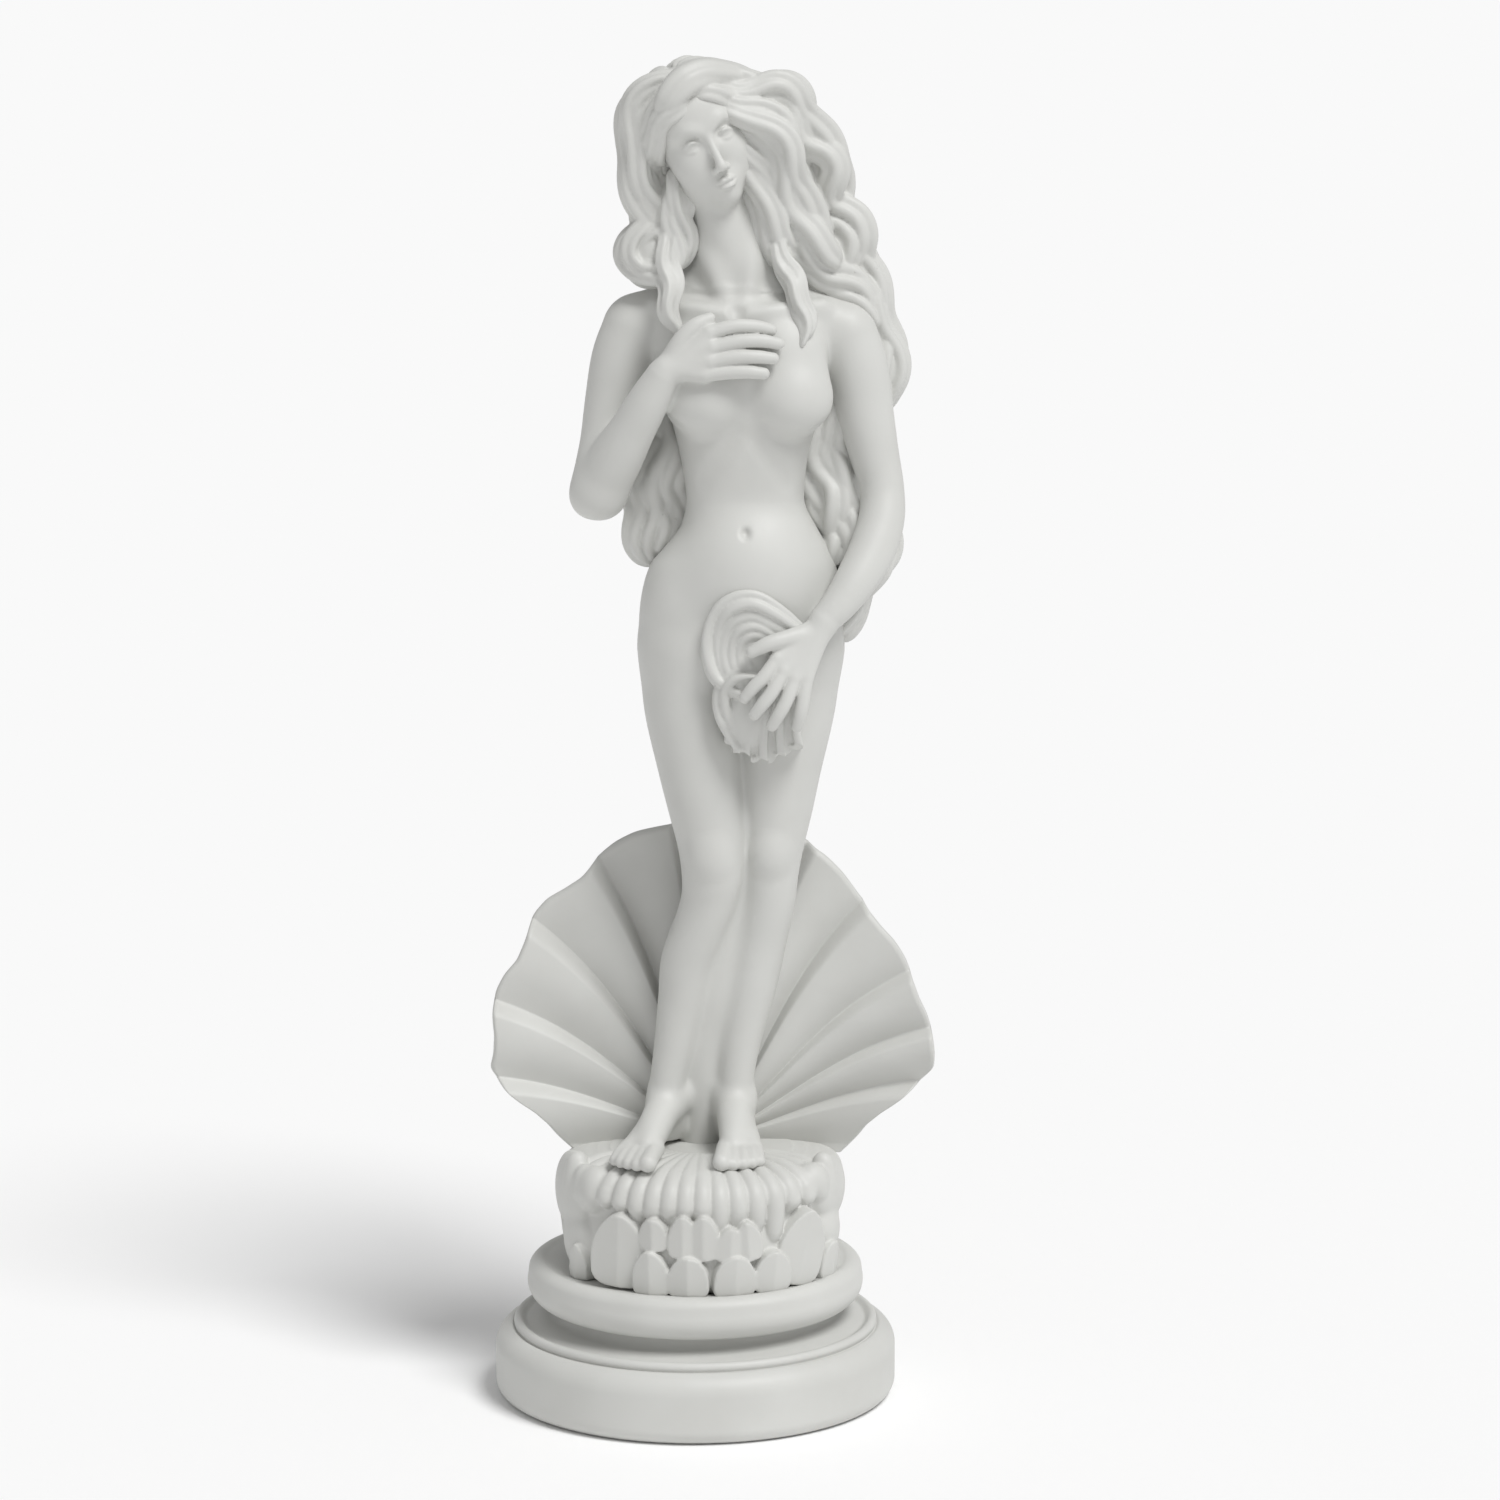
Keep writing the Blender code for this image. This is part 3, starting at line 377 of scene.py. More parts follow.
def right_hand(f):
    """Hand laid over the chest, its fingers level."""
    knuckles = ((3.6, -14.4, 184.4), (4.2, -15.2, 181.3), (3.8, -15.6, 178.2), (2.6, -15.6, 175.4))
    fingers = (
        ((8.8, -14.2, 185.8), (13.4, -13.4, 185.7), (17.0, -12.4, 184.9)),
        ((10.0, -15.2, 182.6), (14.9, -14.7, 182.7), (18.6, -13.8, 182.0)),
        ((9.4, -15.9, 179.3), (13.9, -15.5, 179.3), (17.4, -14.7, 178.9)),
        ((7.8, -16.0, 176.0), (11.9, -16.0, 176.1), (15.4, -15.6, 175.7)),
    )
    thumb = ((-4.8, -13.2, 178.6), (-2.2, -13.9, 183.2), (0.6, -13.9, 186.0), (3.6, -13.2, 187.4))
    hand(f, (-5.6, -14.0, 176.4), knuckles, fingers, thumb)


def left_hand(f):
    """Hand that holds the cloth, its fingers hanging."""
    knuckles = ((18.4, -17.6, 113.4), (19.8, -18.2, 110.9), (22.2, -18.0, 109.3), (24.7, -17.0, 109.4))
    fingers = (
        ((15.6, -19.1, 109.8), (13.2, -19.4, 107.4), (11.3, -19.0, 105.0)),
        ((17.2, -19.8, 106.4), (15.2, -20.0, 103.8), (13.4, -19.4, 101.4)),
        ((20.4, -19.4, 104.6), (18.8, -19.5, 101.6), (17.2, -18.8, 98.8)),
        ((24.0, -18.0, 104.8), (23.4, -18.1, 101.6), (22.7, -17.4, 98.4)),
    )
    thumb = ((25.0, -14.4, 118.6), (20.6, -16.8, 117.8), (16.4, -18.1, 116.8), (12.8, -18.2, 115.0))
    hand(f, (28.4, -13.2, 120.6), knuckles, fingers, thumb)




def level_mesh(field):
    """Vertices and quads of the field's zero level: one vertex in each cell that the surface crosses, at
    the
    mean of its edge crossings, and one quad round each grid edge that the surface crosses."""
    value = field.value
    inside = value < 0
    cells = np.array(value.shape) - 1
    corner = np.array([(i, j, k) for i in (0, 1) for j in (0, 1) for k in (0, 1)])
    total = np.zeros(cells, np.int8)
    for i, j, k in corner:
        total += inside[i:i + cells[0], j:j + cells[1], k:k + cells[2]]
    home = np.argwhere((total > 0) & (total < 8))
    number = np.full(cells, -1, np.int32)
    number[tuple(home.T)] = np.arange(len(home))
    at = value[tuple((home[:, None, :] + corner[None]).transpose(2, 0, 1))]
    place, count = np.zeros((len(home), 3)), np.zeros((len(home), 1))
    for a in range(8):
        for b in range(a + 1, 8):
            if np.abs(corner[a] - corner[b]).sum() != 1:
                continue
            crossed = (at[:, a] < 0) != (at[:, b] < 0)
            share = np.where(crossed, at[:, a] / np.where(crossed, at[:, a] - at[:, b], 1), 0)[:, None]
            place += crossed[:, None] * (corner[a] + share * (corner[b] - corner[a]))
            count += crossed[:, None]
    points = field.low + field.step * (home + place / count)
    quads = []
    for axis in range(3):
        u, v = np.eye(3, dtype=int)[(axis + 1) % 3], np.eye(3, dtype=int)[(axis + 2) % 3]
        low = [slice(0, n) for n in value.shape]
        high = list(low)
        low[axis], high[axis] = slice(0, -1), slice(1, None)
        edge = np.argwhere(inside[tuple(low)] != inside[tuple(high)])
        edge = edge[((edge > 0) & (edge < cells)).sum(axis=1) >= 2]
        good = (edge[:, (axis + 1) % 3] > 0) & (edge[:, (axis + 2) % 3] > 0)
        good &= edge[:, (axis + 1) % 3] < cells[(axis + 1) % 3]
        good &= edge[:, (axis + 2) % 3] < cells[(axis + 2) % 3]
        edge = edge[good]
        ring = np.stack([number[tuple((edge - s).T)] for s in (u + v, v, 0 * u, u)], axis=1)
        outward = inside[tuple(edge.T)]
        ring[~outward] = ring[~outward][:, ::-1]
        quads.append(ring)
    return points, np.concatenate(quads)


def piece(name, points, faces, material, node):
    """A mesh object in metres from places in millimetres; a face is a quad or a triangle of vertex
    numbers."""
    mesh = bpy.data.meshes.new(name)
    loops = np.concatenate([np.asarray(part, np.int32).ravel() for part in faces])
    sizes = np.concatenate([np.full(len(part), part.shape[1], np.int32) for part in faces])
    mesh.vertices.add(len(points))
    mesh.vertices.foreach_set("co", np.asarray(points * MM, np.float32).ravel())
    mesh.loops.add(len(loops))
    mesh.loops.foreach_set("vertex_index", loops)
    mesh.polygons.add(len(sizes))
    mesh.polygons.foreach_set("loop_start", np.concatenate([[0], np.cumsum(sizes)[:-1]]).astype(np.int32))
    mesh.update(calc_edges=True)
    mesh.validate()
    obj = bpy.data.objects.new(name, mesh)
    bpy.context.scene.collection.objects.link(obj)
    mesh.materials.append(material)
    mesh.shade_smooth()
    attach(obj, "root")
    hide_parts(node)
    return obj


def settle(obj):
    """Puts the object's evaluated mesh in place of its own, and takes its modifiers off."""
    graph = bpy.context.evaluated_depsgraph_get()
    mesh = bpy.data.meshes.new_from_object(obj.evaluated_get(graph))
    obj.modifiers.clear()
    obj.data = mesh
    mesh.shade_smooth()


def thinned(obj, triangles=PIECE_TRIANGLES):
    """Collapses edges where the surface is flattest, down to a number of triangles."""
    now = sum(len(p.vertices) - 2 for p in obj.data.polygons)
    if now > triangles:
        thin = obj.modifiers.new("thin", "DECIMATE")
        thin.ratio = triangles / now
        settle(obj)


def woven(grid, start=0):
    """Quads over a grid of rows of closed loops, and a fan of triangles over each end: (points, quads,
    fans)."""
    rows, around = grid.shape[:2]
    index = start + np.arange(rows * around).reshape(rows, around)
    after = np.roll(index, -1, axis=1)
    quads = np.stack([index[:-1], after[:-1], after[1:], index[1:]], axis=-1).reshape(-1, 4)
    poles = start + rows * around + np.arange(2)
    first = np.stack([after[0], index[0], np.full(around, poles[0])], axis=-1)
    last = np.stack([index[-1], after[-1], np.full(around, poles[1])], axis=-1)
    points = np.vstack([grid.reshape(-1, 3), grid[0].mean(axis=0), grid[-1].mean(axis=0)])
    a, b, c = (points[first_three - start] for first_three in (quads[:, 0], quads[:, 1], quads[:, 2]))
    if (np.cross(a, b) * c).sum() + (np.cross(a, c) * points[quads[:, 3] - start]).sum() < 0:
        quads, first, last = quads[:, ::-1], first[:, ::-1], last[:, ::-1]
    return points, quads, np.vstack([first, last])


def gathered(shapes):
    """Several woven shapes in one list of points, quads and triangles."""
    points, quads, fans, start = [], [], [], 0
    for grid in shapes:
        p, q, t = woven(grid, start)
        points.append(p)
        quads.append(q)
        fans.append(t)
        start += len(p)
    return np.vstack(points), [np.vstack(quads), np.vstack(fans)]


def fused(obj, voxel, melt):
    """One skin round all the shapes of a piece, softened as a cast is."""
    weld = obj.modifiers.new("fuse", "REMESH")
    weld.mode = "VOXEL"
    weld.voxel_size = voxel * MM
    soft = obj.modifiers.new("melt", "SMOOTH")
    soft.factor = 0.5
    soft.iterations = melt
    settle(obj)
    thinned(obj)


def skin(material):
    """The bare figure: the zero level of a field of smoothly joined balls, limbs and body sections."""
    field = Field((-28, -31, MOUND_TOP - 3), (50, 22, MOUND_TOP + 247), GRID)
    trunk(field)
    neck(field)
    legs(field)
    arms(field)
    head(field)
    points, quads = level_mesh(field)
    obj = piece("figure_skin", points, [quads], material, "figure_with_shell")
    thinned(obj)


def rails(place):
    """Two directions square to a path at each of its places: one across it, and one that points off the
    body."""
    tangent = np.gradient(place, axis=0)
    tangent /= np.linalg.norm(tangent, axis=1, keepdims=True)
    side = np.cross(tangent, (0.05, 1.0, 0.1))
    side /= np.linalg.norm(side, axis=1, keepdims=True)
    return side, np.cross(side, tangent)


def lock(rows, ridges=5, depth=0.3, twist=0.02, phase=0.0, flat=1.0, sway=0.0, pitch=10.0):
    """A lock swept along a curve of (x, y, z, radius). At length s and angle p its radius is
    r(s) (1 + depth (|sin(ridges p / 2 + twist s)| - 0.6)), narrowed to round ends, and its middle sways
    from the curve by sway sin(2 pi s / pitch + phase) across and 0.6 sway cos(2 pi s / pitch + phase)
    off the body."""
    run = along(rows, 0.5)
    place, radius = run[:, :3], run[:, 3]
    length = np.concatenate([[0], np.cumsum(np.linalg.norm(np.diff(place, axis=0), axis=1))])
    side, out = rails(place)
    beat = (2 * math.pi * length / pitch + phase)[:, None]
    place = place + sway * (np.sin(beat) * side + 0.6 * np.cos(beat) * out)
    side, out = rails(place)
    ends = np.clip(np.minimum(length + 0.05, length[-1] - length + 0.05) / (1.6 * radius), 0.02, 1)
    radius = radius * np.sqrt(1 - (1 - ends) ** 2)
    angle = np.linspace(0, 2 * math.pi, 10 * ridges, endpoint=False)
    turn = twist * length[:, None] + phase
    r = radius[:, None] * (1 + depth * (np.abs(np.sin(0.5 * ridges * angle + turn)) - 0.6))
    return (place[:, None] + (r * np.cos(angle))[..., None] * side[:, None]
            + (flat * r * np.sin(angle))[..., None] * out[:, None])


def tress(rows, strands=3, share=0.66, spread=0.42, turns=0.5, phase=0.0, **look):
    """Thinner locks wound loosely round one path: strand k stands off it by spread r(s), at the angle
    2 pi (k / strands + turns s) + phase, s being the share of the path's length."""
    run = along(rows, 2.5)
    place, radius = run[:, :3], run[:, 3]
    side, out = rails(place)
    s = np.linspace(0, 1, len(run))
    made = []
    for k in range(strands):
        angle = 2 * math.pi * (k / strands + turns * s) + phase
        middle = place + (spread * radius * np.cos(angle))[:,
                None] * side + (spread * radius * np.sin(angle))[:, None] * out
        made.append(lock(np.column_stack([middle, share * radius]), phase=phase + 0.7 * k, **look))
    return made


def raised(rows):
    """Rows of (x, y, z above the mound's top, radius) in the solids' frame."""
    rows = np.array(rows, float)
    rows[:, 2] += MOUND_TOP
    return rows


def on_head(rows):
    """Rows of (x, y, z, radius) in the head's own frame, in the solids' frame."""
    rows = np.array(rows, float)
    return np.column_stack([rows[:, :3] @ HEAD_TURN.T + np.array(HEAD_AT), rows[:, 3]])


SCALP_MIDDLE = np.array((0.0, 2.6, 3.8))
SCALP_RADII = np.array((11.2, 13.2, 11.0))


def scalp(side):
    """Locks combed from the parting over one side of the head, each between the front one and the back
    one."""
    front = np.array(((0.3, -10.4, 9.8), (3.6, -10.2, 9.6), (7.6, -8.0, 7.4), (10.4, -4.0, 3.2),
                      (11.6, 0.4, -2.0), (11.0, 5.4, -7.6)))
    back = np.array(((0.3, 9.0, 16.0), (3.0, 12.4, 12.0), (5.0, 14.6, 6.0), (5.4, 15.4, 0.0),
                     (4.6, 15.0, -6.0), (3.4, 13.0, -11.0)))
    made = []
    for i in range(10):
        share = i / 9
        path = (1 - share) * front + share * back
        path[:, 0] *= side
        off = (path - SCALP_MIDDLE) / SCALP_RADII
        path = SCALP_MIDDLE + off / np.linalg.norm(off, axis=1, keepdims=True) * SCALP_RADII
        width = np.array((1.5, 2.1, 2.4, 2.6, 2.6, 2.2))
        made.append(lock(on_head(np.column_stack([path, width])), ridges=5, twist=0.05, phase=0.7 * i,
                         sway=0.35, pitch=11.0))
    return made


LONG_LOCKS = (
    ((4, -3, 236.5, 3.4), (13, -2, 235.8, 4.6), (20.5, 1, 234.4, 5.0), (24.8, 4, 226.5, 5.2),
     (30.0, 6, 219.5, 5.2),
     (29.5, 8, 211.5, 5.2), (34.8, 9, 203.5, 5.6), (34.2, 9, 195, 4.8)),
    ((6, -6, 233, 3.2), (13.5, -5, 231, 4.0), (19, -3, 225.0, 4.6), (21.5, 0, 216.5, 5.0),
     (23, 2, 208.5, 5.4),
     (27, 3, 201.5, 5.4), (31.5, 4, 197.5, 4.6)),
    ((9, -4.6, 226, 2.8), (13.5, -2.2, 220, 4.0), (16, -0.4, 211, 4.6), (18.5, 1.6, 203.5, 4.8),
     (23, 3.5, 198.0, 4.6),
     (29, 5, 194.5, 3.6)),
    ((14, 4, 208, 5.6), (22, 5, 202, 6.2), (30, 7, 197, 6.2), (36, 8.5, 190, 5.2)),
    ((33.5, 9, 203, 5.0), (36.8, 10, 195, 4.8), (39.4, 9.5, 187.5, 5.0), (42.0, 9, 179, 4.8),
     (41.8, 8.5, 171, 4.4),
     (41.5, 8, 164.5, 3.0)),
    ((0, -5.6, 238.0, 2.8), (-6.0, -5.6, 237.4, 3.6), (-10.8, -4.2, 232.5, 4.2), (-12.6, -2.6, 225.5, 4.2),
     (-12.0, -1.8, 218.0, 4.3), (-9.6, -1, 211.5, 4.4), (-7.6, -0.5, 205.5, 4.4)),
    ((-4.6, -2.6, 219, 2.6), (-3.4, -3.4, 211.5, 3.2), (-3.6, -2.8, 204.5, 3.6), (-5.0, -2.4, 197.5, 3.4)),
    ((-6.0, -0.5, 208.5, 3.4), (-10.4, -1.0, 204.8, 3.8), (-12.6, -1.8, 200.4, 3.8),
     (-10.8, -3.0, 196.6, 3.4),
     (-7.2, -3.4, 196.4, 3.0), (-5.8, -3.6, 199.2, 2.4)),
    ((-4, 6, 235, 5), (-10, 7, 224, 5.5), (-8.5, 8, 212, 5.5), (-4, 9, 203, 5.5), (-4, 8, 195, 5.5)),
    ((-3, 10, 170, 6.5), (-4.5, 9, 155, 7.2), (-6.5, 7.5, 144, 6.6), (-7, 6, 134, 4.2)),
    ((29, 9, 180, 5.6), (30, 8, 164, 6.0), (30, 7.5, 151, 6.4), (31.5, 6, 141, 6.0), (32.5, 3.6, 131, 5.6)),
    ((16, 10, 205, 7), (21, 12, 190, 7), (25, 12, 172, 6.5), (27.5, 10, 158, 6.6), (31.0, 8, 148, 7.0),
     (37.2, 5.2, 138, 6.2), (36.8, 3.8, 128.5, 4.4), (34.2, 2.8, 121, 3.6), (31.5, 2, 115, 2.2)),
    ((8, 8, 235, 5.0), (14.5, 9, 227, 6.4), (18.5, 10, 216, 6.6), (21.5, 11, 205, 6.6), (25, 11.5, 192, 6)),
    ((22, 3.6, 202, 4.4), (28.5, 4.6, 196, 4.8), (34.5, 5.6, 190.5, 4.6), (39.0, 7.0, 184, 3.6)),
    ((36, 7, 152, 4.6), (39.6, 5.2, 142, 4.6), (40.4, 4.2, 133.5, 3.8), (37.6, 3, 125.5, 3.2),
     (34.4, 2, 118, 2.2)),
    ((0, 10, 205, 7), (-1, 12, 190, 7), (-2.5, 12, 172, 6.5), (-4.5, 10, 160, 7.2), (-8.0, 8.5, 149, 7.6),
     (-10.5, 6.5, 139, 5.2), (-8.5, 6, 131, 3)),
)
SHORT_LOCKS = (
    ((-4.6, -1.0, 214, 2.4), (-5.6, -3.4, 204, 2.8), (-5.2, -7.0, 195, 2.8), (-5.0, -9.6, 188.6, 2.2),
     (-3.2, -10.9, 183.6, 0.8)),
    ((15.0, 0.6, 214, 1.2), (18.4, -1.8, 203, 2.1), (22.0, -5.2, 194, 2.7), (24.4, -8.2, 187.4, 2.2),
     (23.8, -10.6, 180.8, 0.8)),
)
FOREHEAD_ROLL = ((-7.4, -7.0, 8.0, 1.6), (-4.6, -8.4, 11.2, 2.9), (-0.2, -8.2, 13.2, 3.5),
                 (4.6, -6.6, 13.2, 3.4),
                 (9.2, -4.2, 11.0, 3.0), (13.2, -2.4, 8.0, 2.8), (16.0, -1.0, 4.0, 2.4),
                 (18.0, 0.6, -1.0, 1.6))


def hair(material):
    """Hair parted under a roll at the forehead, in loose waves behind the shoulders and down the back."""
    polar = np.linspace(0.04, math.pi - 0.9, 40)[:, None]
    turn = np.linspace(0, 2 * math.pi, 72, endpoint=False)[None]
    ball = np.stack([np.sin(polar) * np.cos(turn), np.sin(polar) * np.sin(turn), np.cos(polar) + 0 * turn],
                    axis=-1)
    shapes = [(SCALP_MIDDLE + (0, 1.2, 0.4) + ball * (SCALP_RADII - 0.9)) @ HEAD_TURN.T + np.array(HEAD_AT)]
    shapes.append(ellipsoid((-9.0, -1.6, 200.8 + MOUND_TOP), (4.2, 3.6, 4.8)))
    for side in (-1, 1):
        shapes += scalp(side)
    shapes += tress(on_head(FOREHEAD_ROLL), strands=2, share=0.84, spread=0.22, turns=0.3, depth=0.12)
    for i, rows in enumerate(LONG_LOCKS):
        wave = 0.9 if rows[0][2] > 190 else 1.5
        shapes += tress(raised(rows), strands=4, share=0.6, spread=0.5, phase=0.9 * i, sway=wave,
                        pitch=16.0 + 2 * (i % 3))
    for i in range(7):
        share = i / 6
        rows = [(3 + 4 * share, 10 + 2 * math.sin(math.pi * share), 226, 4.6)]
        for j in range(1, 8):
            fall = j / 7
            spread = (-4 + 14 * share) * (1 - fall) + (-2 + 26 * share) * fall
            back = 12.5 + 2.5 * math.sin(math.pi * share) - 1.5 * fall
            height = 226 - (92 + 6 * math.sin(2.3 * i)) * fall
            rows.append((spread + 3 * fall, back, height, 4.8 - 3.0 * fall**3))
        shapes += tress(raised(rows), phase=1.1 * i, sway=1.2, pitch=19.0, turns=1.0)
    for i, rows in enumerate(SHORT_LOCKS):
        shapes += tress(raised(rows), strands=4, share=0.5, spread=0.62, turns=0.25, phase=0.4, sway=0.45,
                        pitch=11.0)
    points, faces = gathered(shapes)
    obj = piece("hair", points, faces, material, "figure_with_shell")
    fused(obj, 0.32, 1)


ROLLED_EDGE = ((11.0, -15.4, 105.0, 1.4), (5.6, -13.4, 108.6, 2.2), (3.8, -12.2, 114.6, 2.5),
               (4.8, -12.6, 120.6, 2.5),
               (8.0, -14.0, 124.8, 2.5), (13.0, -14.6, 125.8, 2.4), (18.4, -14.4, 122.8, 2.2),
               (23.4, -13.4, 118.6, 1.8))
LOWER_ROLL = ((14.6, -16.0, 108.6, 1.4), (10.0, -15.6, 109.0, 2.0), (6.8, -14.2, 106.4, 2.1),
              (6.4, -13.2, 101.4, 2.1),
              (8.2, -12.6, 96.4, 2.0), (10.4, -12.4, 91.8, 1.4))
HAND = np.array((15.0, -15.2, 112.4, 0))


def cloth(material):
    """A gathered cloth in her left hand: a rolled edge arches over folds that follow it, and the rest
    hangs in a
    bunch of pleats under a second roll."""
    shapes = tress(raised(ROLLED_EDGE), strands=4, share=0.46, spread=0.62, turns=0.3, ridges=3, depth=0.12)
    shapes += tress(raised(LOWER_ROLL), strands=3, share=0.52, spread=0.55, turns=0.4, ridges=3, depth=0.12)
    for share in (0.76, 0.58, 0.42, 0.26):
        rows = HAND + share * (np.array(ROLLED_EDGE) - HAND)
        rows[:, 3] = 0.9 + 0.9 * share
        shapes.append(lock(raised(rows), ridges=3, depth=0.12, phase=6 * share))
    shapes.append(ellipsoid((12.0, -10.6, 114.0 + MOUND_TOP), (8.0, 4.0, 10.2)))
    shapes.append(ellipsoid((15.6, -12.6, 111.6 + MOUND_TOP), (5.4, 3.4, 5.6)))
    shapes.append(ellipsoid((12.0, -10.6, 101.4 + MOUND_TOP), (6.6, 4.2, 10.0)))
    shapes.append(bunch())
    points, faces = gathered(shapes)
    obj = piece("cloth", points, faces, material, "figure_with_shell")
    fused(obj, 0.28, 4)


def ellipsoid(place, radii):
    """Closed ball stretched to three half axes."""
    polar = np.linspace(0.06, math.pi - 0.06, 36)[:, None]
    turn = np.linspace(0, 2 * math.pi, 64, endpoint=False)[None]
    ball = np.stack([np.sin(polar) * np.cos(turn), np.sin(polar) * np.sin(turn), np.cos(polar) + 0 * turn],
                    axis=-1)
    return np.array(place) + ball * np.array(radii)


def bunch():
    """The cloth's hanging end: a sheet in five omega pleats. At width share u and height share v its place
    is
    x = mid + w(v) (u - 1/2) + v / 2 sin(20 pi u), y = skin(v) - d(v) (1 - cos(10 pi u)), and the hem drops
    and rises along the pleats by cos(10 pi u + 0.8)."""
    v = np.linspace(0, 1, 56)[:, None]
    u = np.linspace(0.03, 0.97, 160)[None]
    width, deep = 13.0 + 6.5 * v**0.8, 0.7 + 1.1 * v
    sway = 0.6 * np.sin(4.2 * v + 1.0)
    x = 15.4 + 0.6 * v + sway + width * (u - 0.5) + 0.5 * v * np.sin(20 * math.pi * u)
    z = 107.5 - v * (16.2 + 1.0 * np.cos(10 * math.pi * u + 0.8) - 1.8 * np.cos(2 * math.pi * u))
    y = -14.4 + 3.4 * v**1.5 + 6.0 * (u - 0.5) ** 2 - deep * (1 - np.cos(10 * math.pi * u)) * 0.62
    front = np.stack([x, y, z + MOUND_TOP + 0 * u], axis=-1)
    back = np.stack([x, -8.0 + 3.0 * v + 6.0 * (u - 0.5) ** 2 + 0 * x, z + MOUND_TOP], axis=-1)[:, ::-1]
    return np.concatenate([front, back], axis=1)


SHELL_SPREAD = math.radians(94)
SHELL_RADIUS = 49.0
SHELL_RISE = 22.0
SHELL_LEAN = 13.0
SHELL_CUP = 9.0
SHELL_HINGE = (3.6, 8.0)
SHELL_PLEAT_DEPTH = 4.2
CREASES = {-1: (5.4, 21.9, 38.4, 55.5, 71.4, 90), 1: (5.4, 18.0, 32.0, 48.5, 61.0, 72.0, 90)}
RIM = {
    -1: ((0, 71.5), (14, 71.2), (18, 70.2), (22, 68.4), (26, 66.2), (30, 65.9), (34, 66.1), (38, 65),
         (42, 62.2), (46, 60.4),
         (50, 60.4), (54, 59.6), (58, 57.6), (62, 54.8), (66, 53.2), (70, 52.6), (74, 47.5), (78, 40.6),
         (82, 36.8), (94, 30)),
    1: ((0, 71.5), (14, 71.0), (18, 70.3), (22, 69.2), (26, 67.4), (30, 65.1), (34, 63.3), (38, 62.2),
        (42, 61.7), (46, 60.6),
        (50, 58.9), (54, 57.6), (58, 57.0), (62, 56.0), (66, 54.7), (70, 53.0), (74, 45.8), (78, 39),
        (82, 35), (94, 29)),
}


def shell(material):
    """The upright fan, as loops round its wall, one for each ray from the hinge. At angle a and share q of
    the
    reach R(a), the wall stands back by lean up^1.2 - cup across^2 - depth crest(a) min(1, q R / 40). In each
    pleat the crest climbs fast from its crease, as a sine, and falls slowly to the next, as a cosine."""
    rays, rings = ((680, 70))
    a = np.linspace(-SHELL_SPREAD, SHELL_SPREAD, rays)
    reach, pleat = np.zeros(rays), np.zeros(rays)
    for side in (-1, 1):
        here = np.sign(a + 1e-9) == side
        rim, creases = np.array(RIM[side], float), np.array(CREASES[side], float)
        angle = np.degrees(np.abs(a[here]))
        reach[here] = np.interp(angle, rim[:, 0], rim[:, 1])
        pleat[here] = np.interp(angle, np.concatenate([[-creases[0]], creases]),
                                np.arange(len(creases) + 1.0))
    soft = np.hanning(15)
    reach = np.convolve(np.pad(reach, len(soft) // 2, mode="edge"), soft / soft.sum(), "valid")
    part = pleat % 1.0
    rise = 0.16
    crest = np.where(part < rise, np.sin(0.5 * math.pi * part / rise),
                     np.cos(0.5 * math.pi * (part - rise) / (1 - rise)) ** 1.1)
    a, reach, crest = a[:, None], reach[:, None], crest[:, None]
    q = (0.015 + 0.985 * np.linspace(0, 1, rings) ** 0.9)[None]
    out = q * reach
    swing = -0.07 * np.sin(2 * a) * np.sin(math.pi * q)
    across, up = out * np.sin(a + swing), out * np.cos(a + swing)
    root = np.minimum(1, out / 44)
    full = SHELL_RADIUS + SHELL_RISE
    lean = SHELL_LEAN * (np.maximum(up, 0) / full) ** 1.2
    depth = SHELL_HINGE[1] + lean - SHELL_CUP * (across / SHELL_RADIUS) ** 2
    front = depth - SHELL_PLEAT_DEPTH * (crest - 0.5) * root - 1.2
    back = depth - 0.7 * SHELL_PLEAT_DEPTH * (crest - 0.5) * root + 1.3 - 0.5 * q
    x = SHELL_HINGE[0] + across
    z = MOUND_TOP - 1.3 + up
    there = np.stack([x, front, z], axis=-1)
    rear = np.stack([x, back, z], axis=-1)[:, ::-1]
    lip = 0.5 * (there[:, -1:] + rear[:, :1])
    lip += 0.5 * np.stack([np.sin(a), 0 * a, np.cos(a)], axis=-1)
    points, faces = gathered([np.concatenate([there, lip, rear], axis=1)])
    obj = piece("shell", points, faces, material, "figure_with_shell")
    thinned(obj)


